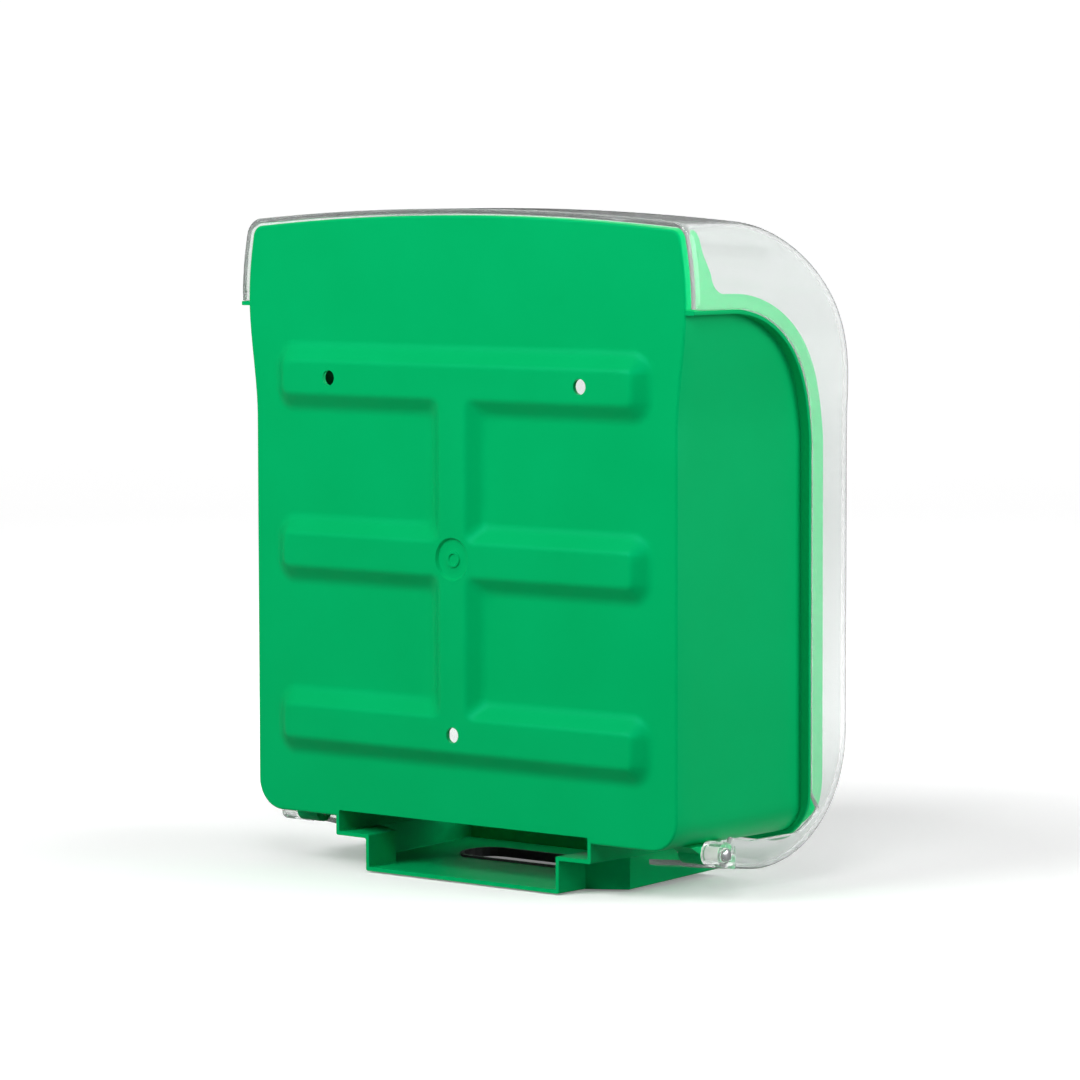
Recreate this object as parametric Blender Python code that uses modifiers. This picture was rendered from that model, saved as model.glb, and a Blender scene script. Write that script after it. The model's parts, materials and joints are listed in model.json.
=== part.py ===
"""Wall-mounted dog waste bag unit: a moulded housing, a drop-down clear cover and the bag magazine.

Frame: the wall is the plane Y = 0 and the unit stands out along -Y. +Z is up, X = 0 is the
plane of symmetry, and the origin is midway between the two upper wall-fixing holes.
"""
import math

import bmesh
import bpy
from mathutils import Matrix, Vector

MM = 0.001
GAP = 0.3 * MM                       # clearance between pieces that touch

# Housing: outline seen from the front
BODY_HALF = 159 * MM                 # half-width of the straight sides
SHOULDER_HALF = 165 * MM             # half-width where the sides flare out
SHOULDER_Z = 45 * MM
FLARE_Z = -25 * MM                   # height where the flare begins
SHOULDER_FALL = 2.8                  # how fast the shoulder closes in above, 1/m
BOTTOM_Z = -258.4 * MM
TOP_Z = 95.2 * MM                    # crown of the arched top
TOP_DROP = 6.9 * MM                  # how far the arch falls at the top corners
BOTTOM_CORNER = 18 * MM
TOP_CORNER = 7 * MM
TOP_CORNER_Z = 81.5 * MM
DRAFT = 0.02                         # growth of the half-width per metre of depth

# Housing: depths, measured out from the wall
PLATE_Y = 7 * MM                     # rear face of the back plate
WALL = 2.5 * MM
LIP_Y = 137 * MM                     # front edge of the side walls
LIP_Z = 52 * MM                      # upper edge of the side walls
LIP_RADIUS = 89 * MM
LIP_FOOT_Z = -225 * MM               # where the side walls' front edge starts to curve back
LIP_FOOT_RADIUS = 50 * MM
TOP_LIP_Y = 21 * MM                  # front edge of the top wall
TOP_LIP_FOOT_Y = 29 * MM
NOTCH_RADIUS = 11 * MM
RIM_Y = 118 * MM                     # rear face of the rim that the cover closes on
RIM_Z = 41 * MM
RIM_RADIUS = 75.5 * MM
RIM_THICK = 2.5 * MM
RIM_PROUD = 6 * MM
RIM_CORNER = 30 * MM
RIM_CLEAR = 0.8 * MM                 # gap between the rim and the cover's edge

# Stand-off ribs on the back plate
RIB_FLAT = 9.7 * MM                  # half-width of a rib's wall-contact face
RIB_BASE = 19 * MM                   # half-width of a rib where it leaves the plate
RIB_END = 131.5 * MM                 # half-length of the contact face
RIB_PITCH = 101.5 * MM
FIXING_X = 95 * MM
FIXING_RADIUS = 4.5 * MM
GATE_RADIUS = 12.4 * MM              # moulding-gate recess
GATE_DEPTH = 1.1 * MM

# Outlet chute under the floor
CHUTE_HALF = 97 * MM
CHUTE_NECK_HALF = 73.5 * MM
CHUTE_SHELF_Z = -269.7 * MM          # underside of the wide upper part at the rear
CHUTE_BOTTOM_Z = -288.8 * MM
CHUTE_RISE = 0.035                   # rise of the chute's bottom towards the front
CHUTE_MOUTH_Z = -254.8 * MM          # top of the opening in the back plate
CHUTE_FLARE_Y = 31 * MM
CHUTE_FULL_Y = 43 * MM
CHUTE_FRONT_Y = 127 * MM
CHUTE_WALL = 2.3 * MM
SLOT_HALF = 62 * MM
SLOT_RADIUS = 17 * MM
SLOT_Y = 84 * MM

# Clear cover
COVER_WALL = 3 * MM
COVER_FRONT_Y = 162.7 * MM
COVER_TOP_Z = 92.5 * MM
COVER_TOP_RADIUS = 110 * MM
COVER_BOTTOM_Z = -276 * MM
COVER_BOTTOM_RADIUS = 75 * MM
COVER_REAR_Y = 8.5 * MM
COVER_CORNER = 15 * MM               # edge radius between the front and the sides
COVER_TOP_CORNER = 9 * MM            # and between the top and the sides
COVER_CROWN = 6.5 * MM
COVER_OFFSET = 6 * MM                # cover's outer side beyond the housing's side
EAR_TOP_Z = -257 * MM                # upper edge of the side wall's ear under the rim
EAR_RISE = 8 * MM                    # how far the cover's bottom rises to the hinge
CHUTE_CUT_HALF = 100.5 * MM
CHUTE_CUT_Y = 138 * MM

# Hinge
HINGE_Y = 41.5 * MM
HINGE_Z = -262 * MM
KNUCKLE_RADIUS = 7.2 * MM
KNUCKLE_INNER_X = 154.5 * MM
KNUCKLE_OUTER_X = 166.5 * MM
LUG_INNER_X = 138 * MM
LUG_OUTER_X = 153.8 * MM
PIN_RADIUS = 2 * MM
BUSH_RADIUS = 4 * MM

# Lock
LOCK_Z = 8 * MM
LOCK_FACE_Y = 169.4 * MM
LOCK_BOSS_RADIUS = 15 * MM
LOCK_POCKET_RADIUS = 12.2 * MM
LOCK_BODY_RADIUS = 8 * MM
PLUG_RADIUS = 5.5 * MM
CAM_Y = 133.5 * MM                   # rear face of the cam
CAM_THICK = 2.5 * MM
CAM_REACH = 27 * MM
CAM_WIDTH = 13 * MM

# Bag magazine
GUIDE_X = 105 * MM
SHEET = 1.5 * MM
GUIDE_REAR_Y = 16 * MM
GUIDE_FRONT_Y = 108 * MM
GUIDE_FOOT_Z = -248 * MM
GUIDE_TOP_Z = 35 * MM
GUIDE_BOSS_X = 116 * MM
GUIDE_BOSS_ZS = (-50.75 * MM, -152.25 * MM)
SHELF_Z = -250.6 * MM                # underside of the bag shelf
SHELF_BOSS_X = 122 * MM
SHELF_BOSS_YS = (30 * MM, 98 * MM)
BAR_Y = 138.5 * MM
BAR_LOW_Z = 22 * MM
BAR_HIGH_Z = 36 * MM
BAR_SCREW_Y = 97 * MM
BAR_MID_Z = (BAR_LOW_Z + BAR_HIGH_Z) / 2
FOLLOWER_Y = 60 * MM
FOLLOWER_Z = SHELF_Z + 3 * MM
SCREW_RADIUS = 2 * MM

SIDES = (("left", 1), ("right", -1))
HINGE_POINT = (0, -HINGE_Y, HINGE_Z)
LOCK_POINT = (0, -CAM_Y, LOCK_Z)

# Material finishes: colour, roughness, metallic
GREEN = ("moulded_green", (0.0, 0.42, 0.20, 1.0), 0.38, 0.0)
CLEAR = ("clear_cover", (0.80, 0.84, 0.83, 0.35), 0.12, 0.0)
DARK = ("dark_plastic", (0.035, 0.04, 0.04, 1.0), 0.5, 0.0)
STEEL = ("zinc_steel", (0.62, 0.63, 0.64, 1.0), 0.35, 1.0)
NYLON = ("white_nylon", (0.78, 0.78, 0.74, 1.0), 0.5, 0.0)


# --- Scene and mesh helpers -------------------------------------------------------------------

def clear_scene():
    for obj in list(bpy.data.objects):
        bpy.data.objects.remove(obj, do_unlink=True)


def collection(name):
    group = bpy.data.collections.new(name)
    bpy.context.scene.collection.children.link(group)
    return group


def material(finish):
    name, colour, roughness, metallic = finish
    mat = bpy.data.materials.get(name)
    if mat is None:
        mat = bpy.data.materials.new(name)
        mat.use_nodes = True
        shader = mat.node_tree.nodes["Principled BSDF"]
        shader.inputs["Base Color"].default_value = colour
        shader.inputs["Alpha"].default_value = colour[3]
        shader.inputs["Roughness"].default_value = roughness
        shader.inputs["Metallic"].default_value = metallic
        mat.diffuse_color = colour
    return mat


def make_object(name, bm, group, finish=None):
    bmesh.ops.recalc_face_normals(bm, faces=bm.faces)
    mesh = bpy.data.meshes.new(name)
    bm.to_mesh(mesh)
    bm.free()
    obj = bpy.data.objects.new(name, mesh)
    group.objects.link(obj)
    if finish:
        mesh.materials.append(material(finish))
    return obj


def part(name, bm, finish):
    return make_object(name, bm, PARTS, finish)


def tool(name, bm):
    obj = make_object(name, bm, CUTTERS)
    obj.display_type = "WIRE"
    obj.hide_render = True
    return obj


def combine(obj, other, operation):
    mod = obj.modifiers.new(operation.title() + " " + other.name, "BOOLEAN")
    mod.object = other
    mod.operation = operation
    mod.solver = "EXACT"
    return obj


def cut(obj, *cutters):
    for cutter in cutters:
        combine(obj, cutter, "DIFFERENCE")


def join(obj, *pieces):
    for piece in pieces:
        combine(obj, piece, "UNION")


def set_origin(obj, point):
    """Put the object's origin on a point and leave its shape where it is."""
    obj.data.transform(Matrix.Translation(-Vector(point)))
    obj.location = point


def tidy_faces(bm):
    """Weld points that coincide, and merge flat faces that meet into one."""
    bmesh.ops.remove_doubles(bm, verts=bm.verts, dist=0.001 * MM)
    bmesh.ops.dissolve_limit(bm, angle_limit=math.radians(0.5), verts=bm.verts, edges=bm.edges)


def loft(loops):
    """Closed solid through loops of 3-D points that all have the same count."""
    bm = bmesh.new()
    rings = [[bm.verts.new(p) for p in loop] for loop in loops]
    count = len(rings[0])
    for low, high in zip(rings, rings[1:]):
        for i in range(count):
            j = (i + 1) % count
            bm.faces.new((low[i], low[j], high[j], high[i]))
    bm.faces.new(rings[0])
    bm.faces.new(rings[-1])
    return bm


def extruded(outline, near, far, axes):
    """Flat outline as a filled curve, extruded from near to far; axes are its three directions."""
    curve = bpy.data.curves.new("outline", "CURVE")
    curve.dimensions = "2D"
    curve.fill_mode = "BOTH"
    curve.extrude = abs(far - near) / 2
    spline = curve.splines.new("POLY")
    spline.points.add(len(outline) - 1)
    for point, (u, v) in zip(spline.points, outline):
        point.co = (u, v, 0, 1)
    spline.use_cyclic_u = True
    holder = bpy.data.objects.new("outline", curve)
    mesh = bpy.data.meshes.new_from_object(holder)
    bm = bmesh.new()
    bm.from_mesh(mesh)
    bpy.data.objects.remove(holder)
    bpy.data.curves.remove(curve)
    bpy.data.meshes.remove(mesh)
    tidy_faces(bm)
    lift = Matrix.Translation((0, 0, (near + far) / 2))
    turn = Matrix(axes).transposed().to_4x4()
    bmesh.ops.transform(bm, matrix=turn @ lift, verts=bm.verts)
    return bm


def prism_y(outline, near, far):
    """Outline of (x, z) points, extruded from one distance off the wall to another."""
    return extruded(outline, near, far, ((1, 0, 0), (0, 0, 1), (0, -1, 0)))


def prism_x(outline, x0, x1):
    """Outline of (distance off the wall, z) points, extruded along X."""
    return extruded(outline, x0, x1, ((0, -1, 0), (0, 0, 1), (1, 0, 0)))


def prism_z(outline, z0, z1):
    """Outline of (x, distance off the wall) points, extruded along Z."""
    return extruded(outline, z0, z1, ((1, 0, 0), (0, -1, 0), (0, 0, 1)))


def turned(axis, centre, profile, segments=24):
    """Turned solid: (radius, distance along the axis) pairs about X, -Y or Z through a centre."""
    along, side = {
        "X": (Vector((1, 0, 0)), Vector((0, 1, 0))),
        "Y": (Vector((0, -1, 0)), Vector((1, 0, 0))),
        "Z": (Vector((0, 0, 1)), Vector((1, 0, 0))),
    }[axis]
    origin = Vector(centre)
    line = [(0, profile[0][1])] + profile + [(0, profile[-1][1])]
    bm = bmesh.new()
    verts = [bm.verts.new(origin + along * distance + side * radius) for radius, distance in line]
    edges = [bm.edges.new(pair) for pair in zip(verts, verts[1:])]
    bmesh.ops.spin(bm, geom=verts + edges, cent=origin, axis=along, angle=2 * math.pi, steps=segments)
    tidy_faces(bm)
    return bm


def arc(cx, cy, radius, start, end, steps):
    """Points on an arc, angles in degrees."""
    points = []
    for k in range(steps + 1):
        a = math.radians(start + (end - start) * k / steps)
        points.append((cx + radius * math.cos(a), cy + radius * math.sin(a)))
    return points


def box_outline(a0, a1, b0, b1):
    return [(a0, b0), (a1, b0), (a1, b1), (a0, b1)]


def stadium(half_length, radius, steps=10):
    """Slot with round ends, centred on the origin and long in its first coordinate."""
    run = half_length - radius
    return arc(run, 0, radius, -90, 90, steps) + arc(-run, 0, radius, 90, 270, steps)


def mirrored(outline):
    """Close a right-hand outline, listed bottom to top, with its mirror image."""
    return outline + [(-x, z) for x, z in reversed(outline)]


# --- Housing ----------------------------------------------------------------------------------

def half_width(z):
    """Half-width of the housing at a height: straight, flared at the shoulder, closing above."""
    if z > SHOULDER_Z:
        return SHOULDER_HALF - SHOULDER_FALL * (z - SHOULDER_Z) ** 2
    t = min(max((z - FLARE_Z) / (SHOULDER_Z - FLARE_Z), 0.0), 1.0)
    return BODY_HALF + (SHOULDER_HALF - BODY_HALF) * t * t * (3 - 2 * t)


def housing_outline(grow, depth, corner):
    """Outline of the housing, grown outwards and widened by the draft at a distance off the wall."""
    wide = 1 + DRAFT * (depth - PLATE_Y) / BODY_HALF
    low = BOTTOM_Z - grow
    points = arc(BODY_HALF + grow - corner, low + corner, corner, -90, 0, 7)
    points += [(half_width(z) + grow, z) for z in ((low + corner) * 0.6, FLARE_Z)]
    for k in range(1, 10):
        z = FLARE_Z + (TOP_CORNER_Z - FLARE_Z) * k / 9
        points.append((half_width(z) + grow, z))
    top_x = half_width(TOP_CORNER_Z) - TOP_CORNER
    points += arc(top_x, TOP_CORNER_Z, TOP_CORNER + grow, 18, 72, 3)
    for k in range(9):
        across = 1 - k / 9
        points.append((top_x * across, TOP_Z + grow - TOP_DROP * across ** 2))
    crown = [(0, TOP_Z + grow)]
    left = [(-x, z) for x, z in reversed(points)]
    return [(x * wide, z) for x, z in points + crown + left]


def housing_prism(grow, near, far, corner):
    loops = []
    for depth in (near, far):
        loops.append([(x, -depth, z) for x, z in housing_outline(grow, depth, corner)])
    return loft(loops)


def edge_curve(front, top, radius, steps=14):
    """Side-view curve of a wall's edge, from its rear end on top to its foot in front."""
    curve = [(front - radius - 30 * MM, top)]
    curve += arc(front - radius, top - radius, radius, 90, 0, steps)
    return curve + [(front, BOTTOM_Z - 60 * MM)]


def front_cutter():
    """Everything in front of the side walls' edge, so that the housing's walls end on it."""
    notch_y = TOP_LIP_FOOT_Y + NOTCH_RADIUS
    outline = [(TOP_LIP_Y, TOP_Z + 30 * MM), (TOP_LIP_Y, 90 * MM), (24 * MM, 74 * MM)]
    outline += arc(notch_y, LIP_Z + NOTCH_RADIUS, NOTCH_RADIUS, 180, 270, 6)
    outline += edge_curve(LIP_Y, LIP_Z, LIP_RADIUS)[1:-1]
    outline += arc(LIP_Y - LIP_FOOT_RADIUS, LIP_FOOT_Z, LIP_FOOT_RADIUS, 0, -60, 8)
    outline += [(LIP_Y + 60 * MM, BOTTOM_Z - 60 * MM), (LIP_Y + 60 * MM, TOP_Z + 30 * MM)]
    return tool("front_cutter", prism_x(outline, -200 * MM, 200 * MM))


def rim_band():
    """The strip, seen from the side, that the rim lies in."""
    outer = edge_curve(RIM_Y + RIM_THICK, RIM_Z + RIM_THICK, RIM_RADIUS + RIM_THICK)
    inner = edge_curve(RIM_Y, RIM_Z, RIM_RADIUS)
    outer[0] = (PLATE_Y, outer[0][1])
    inner[0] = (PLATE_Y, inner[0][1])
    return prism_x(outer + inner[::-1], -200 * MM, 200 * MM)


def rib_outline(half, end):
    """Three cross bars joined by one upright, as one outline, for ribs of a half-width."""
    fillet = 5 * MM
    bars = [0.0, -RIB_PITCH, -2 * RIB_PITCH]
    points = []
    for z in reversed(bars):
        low, high = z - half, z + half
        if z != bars[-1]:
            points += arc(half + fillet, low - fillet, fillet, 180, 90, 3)
        points += arc(end - fillet, low + fillet, fillet, -90, 0, 3)
        points += arc(end - fillet, high - fillet, fillet, 0, 90, 3)
        if z != bars[0]:
            points += arc(half + fillet, high + fillet, fillet, 270, 180, 3)
    return mirrored(points)


def rib_loft(shrink, wall_y, plate_y):
    """Solid of the ribs between a face near the wall and the plate, shrunk by a wall's thickness."""
    flat = rib_outline(RIB_FLAT - shrink, RIB_END - shrink)
    base = rib_outline(RIB_BASE - shrink, RIB_END + (RIB_BASE - RIB_FLAT) - shrink)
    slope = [(b[0] - f[0], b[1] - f[1]) for f, b in zip(flat, base)]
    over = 1 + (plate_y - PLATE_Y - shrink) / PLATE_Y
    wide = [(f[0] + s[0] * over, f[1] + s[1] * over) for f, s in zip(flat, slope)]
    return loft([[(x, -wall_y, z) for x, z in flat], [(x, -plate_y, z) for x, z in wide]])


def chute_loft(inset, rear, front, top):
    """The chute: T-shaped at the wall side, flaring out to its full width in front."""
    def section(depth, neck):
        rise = CHUTE_RISE * (depth - CHUTE_FLARE_Y) if depth > CHUTE_FLARE_Y else 0.0
        bottom = CHUTE_BOTTOM_Z + rise + inset
        wide, narrow = CHUTE_HALF - inset, neck - inset
        shelf = CHUTE_SHELF_Z + inset
        half = [(narrow, bottom), (narrow + 0.1 * MM, shelf), (wide, shelf + 0.1 * MM), (wide, top)]
        return [(x, -depth, z) for x, z in mirrored(half)]
    full = CHUTE_HALF - 0.4 * MM
    return loft([
        section(rear, CHUTE_NECK_HALF),
        section(CHUTE_FLARE_Y, CHUTE_NECK_HALF),
        section(CHUTE_FULL_Y, full),
        section(front, full),
    ])


def chute_slope():
    """Tilt of the chute's bottom, and its height at the slot."""
    height = CHUTE_BOTTOM_Z + CHUTE_RISE * (SLOT_Y - CHUTE_FLARE_Y)
    return math.atan(CHUTE_RISE), height


def tilted_slot(half_length, radius, below, above):
    """Upright slot-shaped solid, tilted square to the chute's bottom."""
    tilt, height = chute_slope()
    bm = prism_z(stadium(half_length, radius), below, above)
    place = Matrix.Translation((0, -SLOT_Y, height)) @ Matrix.Rotation(-tilt, 4, "X")
    bmesh.ops.transform(bm, matrix=place, verts=bm.verts)
    return bm


def hinge_lug(side):
    """Lug under the floor that carries a hinge pin."""
    r = KNUCKLE_RADIUS - 0.4 * MM
    outline = arc(HINGE_Y, HINGE_Z, r, 180, 360, 10)
    outline += [(HINGE_Y + 15 * MM, BOTTOM_Z + 6 * MM), (HINGE_Y - 15 * MM, BOTTOM_Z + 6 * MM)]
    x0, x1 = sorted((side * LUG_INNER_X, side * LUG_OUTER_X))
    return prism_x(outline, x0, x1)


def build_housing():
    body = part("rear_housing", housing_prism(0, PLATE_Y, LIP_Y + 5 * MM, BOTTOM_CORNER), GREEN)
    cut(body, front_cutter())
    rim = tool("rim", housing_prism(RIM_PROUD, PLATE_Y, LIP_Y, RIM_CORNER))
    combine(rim, tool("rim_band", rim_band()), "INTERSECT")
    join(body, rim)
    join(body, tool("ribs", rib_loft(0, 0, PLATE_Y + 1 * MM)))
    join(body, tool("chute", chute_loft(0, PLATE_Y, CHUTE_FRONT_Y, BOTTOM_Z + 1.2 * MM)))
    for name, side in SIDES:
        join(body, tool("hinge_lug_" + name, hinge_lug(side)))
    inner_y = PLATE_Y + WALL
    inner_corner = BOTTOM_CORNER - WALL
    cut(body, tool("hollow", housing_prism(-WALL, inner_y, LIP_Y + 30 * MM, inner_corner)))
    cut(body, tool("rib_hollows", rib_loft(WALL, WALL, inner_y + 1 * MM)))
    channel = chute_loft(CHUTE_WALL, PLATE_Y - 3 * MM, CHUTE_FRONT_Y - CHUTE_WALL, CHUTE_MOUTH_Z)
    cut(body, tool("chute_hollow", channel))
    cut(body, tool("outlet_slot", tilted_slot(SLOT_HALF, SLOT_RADIUS, -3 * MM, 8 * MM)))
    for index, (x, z) in enumerate(((-FIXING_X, 0), (FIXING_X, 0), (0, -2 * RIB_PITCH))):
        hole = turned("Y", (x, 0, z), [(FIXING_RADIUS, -5 * MM), (FIXING_RADIUS, 20 * MM)], 28)
        cut(body, tool("fixing_hole_%d" % (index + 1), hole))
    gate = [(GATE_RADIUS, -2 * MM), (GATE_RADIUS, 0), (GATE_RADIUS - 0.8 * MM, GATE_DEPTH)]
    cut(body, tool("gate_recess", turned("Y", (0, 0, -RIB_PITCH), gate, 32)))
    add_bosses(body)
    for name, side in SIDES:
        bore = turned("X", (side * LUG_INNER_X, -HINGE_Y, HINGE_Z),
                      [(PIN_RADIUS + GAP, -2 * MM * side), (PIN_RADIUS + GAP, 20 * MM * side)])
        cut(body, tool("pin_bore_" + name, bore))
    return body


def add_bosses(body):
    """Screw bosses for the bag guides on the back plate and for the bag shelf on the floor."""
    plate_inner = PLATE_Y + WALL
    floor_inner = BOTTOM_Z + WALL
    pilot = SCREW_RADIUS + GAP
    for name, side in SIDES:
        for index, z in enumerate(GUIDE_BOSS_ZS):
            centre = (side * GUIDE_BOSS_X, 0, z)
            post = [(4.6 * MM, plate_inner - 1 * MM), (4.2 * MM, GUIDE_REAR_Y - GAP)]
            join(body, tool("guide_boss_%s_%d" % (name, index), turned("Y", centre, post)))
            hole = [(pilot, plate_inner - 0.5 * MM), (pilot, GUIDE_REAR_Y + 5 * MM)]
            cut(body, tool("guide_pilot_%s_%d" % (name, index), turned("Y", centre, hole)))
        for index, y in enumerate(SHELF_BOSS_YS):
            centre = (side * SHELF_BOSS_X, -y, 0)
            post = [(4.6 * MM, floor_inner - 1 * MM), (4.2 * MM, SHELF_Z - GAP)]
            join(body, tool("shelf_boss_%s_%d" % (name, index), turned("Z", centre, post)))
            hole = [(pilot, floor_inner - 0.5 * MM), (pilot, SHELF_Z + 5 * MM)]
            cut(body, tool("shelf_pilot_%s_%d" % (name, index), turned("Z", centre, hole)))


# --- Clear cover ------------------------------------------------------------------------------

def cover_profile():
    """Side view of the cover's outer skin, as rows from its rear edge on top to the hinge.

    A row is (distance off the wall, z, outward angle, reach, corner): the angle is the outward
    normal's, the reach is how far the side wall runs back from the skin, and the corner is the
    edge radius between the skin and the side wall.
    """
    rows = []
    top_y = COVER_FRONT_Y - COVER_TOP_RADIUS
    top_z = COVER_TOP_Z - COVER_TOP_RADIUS
    top_reach = COVER_TOP_Z - (RIM_Z + RIM_THICK + RIM_CLEAR)
    front_reach = COVER_FRONT_Y - (RIM_Y + RIM_THICK + RIM_CLEAR)
    for k in range(4):
        y = COVER_REAR_Y + (top_y - COVER_REAR_Y) * k / 4
        rows.append((y, COVER_TOP_Z, 90, top_reach, COVER_TOP_CORNER))
    for k in range(15):
        t = k / 14
        angle = 90 - 90 * t
        y, z = arc(top_y, top_z, COVER_TOP_RADIUS, angle, 0, 1)[0]
        corner = COVER_TOP_CORNER + (COVER_CORNER - COVER_TOP_CORNER) * t
        rows.append((y, z, angle, reach_to_rim(angle), corner))
    base_y = COVER_FRONT_Y - COVER_BOTTOM_RADIUS
    base_z = COVER_BOTTOM_Z + COVER_BOTTOM_RADIUS
    rim_foot_z = RIM_Z - RIM_RADIUS
    for k in range(5):
        z = rim_foot_z + (base_z - rim_foot_z) * k / 5
        rows.append((COVER_FRONT_Y, z, 0, front_reach, COVER_CORNER))
    deepest = COVER_BOTTOM_RADIUS - COVER_CORNER - 0.5 * MM
    for k in range(15):
        a = -90 * k / 14
        y, z = arc(base_y, base_z, COVER_BOTTOM_RADIUS, a, 0, 1)[0]
        back = (COVER_FRONT_Y - front_reach - base_y) / max(math.cos(math.radians(a)), 0.3)
        down = (base_z - EAR_TOP_Z) / max(-math.sin(math.radians(a)), 0.3)
        inner = min(max(back if a > -60 else 0, down if a < -45 else 0), deepest)
        rows.append((y, z, a, COVER_BOTTOM_RADIUS - inner, COVER_CORNER))
    ear_reach = EAR_TOP_Z - COVER_BOTTOM_Z
    for k in range(1, 5):
        t = k / 4
        rise = EAR_RISE * t ** 1.5
        y = base_y - (base_y - HINGE_Y - 2 * MM) * t
        reach = max(ear_reach - rise, COVER_CORNER + 0.5 * MM)
        rows.append((y, COVER_BOTTOM_Z + rise, -90 - 18 * t, reach, COVER_CORNER))
    return rows


def reach_to_rim(angle):
    """Distance from the skin of the upper curve to the rim's outer curve, along the normal."""
    off_y = COVER_FRONT_Y - COVER_TOP_RADIUS - (RIM_Y - RIM_RADIUS)
    off_z = COVER_TOP_Z - COVER_TOP_RADIUS - (RIM_Z - RIM_RADIUS)
    a = math.radians(angle)
    b = off_y * math.cos(a) + off_z * math.sin(a)
    c = off_y ** 2 + off_z ** 2 - (RIM_RADIUS + RIM_THICK + RIM_CLEAR) ** 2
    return COVER_TOP_RADIUS - (math.sqrt(b * b - c) - b)


def cover_section(y, z, angle, reach, corner):
    """Half of one cross-section of the skin, from the crown to the side wall's edge."""
    a = math.radians(angle)
    out = Vector((0, -math.cos(a), math.sin(a)))
    base = Vector((0, -y, z))
    points = []
    corner_x = BODY_HALF + COVER_OFFSET + DRAFT * COVER_FRONT_Y - corner
    for k in range(9):
        x = corner_x * k / 8
        rise = COVER_CROWN * (1 - (k / 8) ** 2)
        points.append(Vector((x, 0, 0)) + base + out * rise)
    for k in range(1, 6):
        b = math.radians(90 - 18 * k)
        across = Vector((corner_x + corner * math.cos(b), 0, 0))
        points.append(across + base - out * corner * (1 - math.sin(b)))
    for k in range(1, 5):
        sink = corner + (reach - corner) * k / 4
        points.append(Vector((corner_x + corner, 0, 0)) + base - out * sink)
    return [follow_housing(p, corner_x) for p in points]


def follow_housing(point, corner_x):
    """Widen or narrow a point so that the cover's sides stay parallel to the housing's."""
    nominal = BODY_HALF + DRAFT * COVER_FRONT_Y
    actual = half_width(point.z) + DRAFT * max(-point.y - PLATE_Y, 0.0)
    share = min(point.x / corner_x, 1.0) ** 2
    return Vector((point.x + (actual - nominal) * share, point.y, point.z))


def cover_skin():
    """Outer skin of the cover as an open surface, for Solidify to thicken inwards."""
    bm = bmesh.new()
    grid = []
    for profile_row in cover_profile():
        half = cover_section(*profile_row)
        row = [Vector((-p.x, p.y, p.z)) for p in reversed(half[1:])] + half
        grid.append([bm.verts.new(p) for p in row])
    for low, high in zip(grid, grid[1:]):
        for j in range(len(low) - 1):
            bm.faces.new((low[j], low[j + 1], high[j + 1], high[j]))
    return bm


def build_cover():
    cover = part("front_cover", cover_skin(), CLEAR)
    shell = cover.modifiers.new("Wall", "SOLIDIFY")
    shell.thickness = COVER_WALL
    shell.offset = -1
    shell.use_even_offset = True
    boss = [(LOCK_BOSS_RADIUS, 158.5 * MM), (LOCK_BOSS_RADIUS, LOCK_FACE_Y - 1 * MM),
            (LOCK_BOSS_RADIUS - 1 * MM, LOCK_FACE_Y)]
    join(cover, tool("lock_boss", turned("Y", (0, 0, LOCK_Z), boss, 32)))
    pocket = [(LOCK_POCKET_RADIUS, 140 * MM), (LOCK_POCKET_RADIUS, LOCK_FACE_Y - COVER_WALL)]
    cut(cover, tool("lock_pocket", turned("Y", (0, 0, LOCK_Z), pocket, 32)))
    bore = [(LOCK_BODY_RADIUS + GAP, 140 * MM), (LOCK_BODY_RADIUS + GAP, 180 * MM)]
    cut(cover, tool("lock_bore", turned("Y", (0, 0, LOCK_Z), bore)))
    slot = arc(CHUTE_CUT_Y - 12 * MM, CHUTE_CUT_HALF - 12 * MM, 12 * MM, 90, 0, 5)
    slot = [(x, d) for d, x in slot]
    slot = [(CHUTE_CUT_HALF, 20 * MM)] + slot
    slot = slot + [(-x, d) for x, d in reversed(slot)]
    cut(cover, tool("chute_cutout", prism_z(slot, COVER_BOTTOM_Z - 30 * MM, COVER_BOTTOM_Z + 35 * MM)))
    for name, side in SIDES:
        join(cover, tool("knuckle_" + name, knuckle(side)))
        relief = box_outline(30 * MM, HINGE_Y + 14 * MM, -290 * MM, -240 * MM)
        x0, x1 = sorted((side * (CHUTE_CUT_HALF - 2 * MM), side * (KNUCKLE_INNER_X)))
        cut(cover, tool("lug_relief_" + name, prism_x(relief, x0, x1)))
        bore = turned("X", (side * KNUCKLE_INNER_X, -HINGE_Y, HINGE_Z),
                      [(BUSH_RADIUS + GAP, -3 * MM * side), (BUSH_RADIUS + GAP, 20 * MM * side)])
        cut(cover, tool("knuckle_bore_" + name, bore))
    set_origin(cover, HINGE_POINT)
    return cover


def knuckle(side):
    """Round hinge eye at the rear end of the cover's bottom wall."""
    outline = arc(HINGE_Y, HINGE_Z, KNUCKLE_RADIUS, 60, 270, 16)
    outline += [(HINGE_Y + 9 * MM, HINGE_Z - 9 * MM), (HINGE_Y + 9 * MM, HINGE_Z + 4 * MM)]
    x0, x1 = sorted((side * KNUCKLE_INNER_X, side * KNUCKLE_OUTER_X))
    return prism_x(outline, x0, x1)


# --- Hinge ------------------------------------------------------------------------------------

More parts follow.
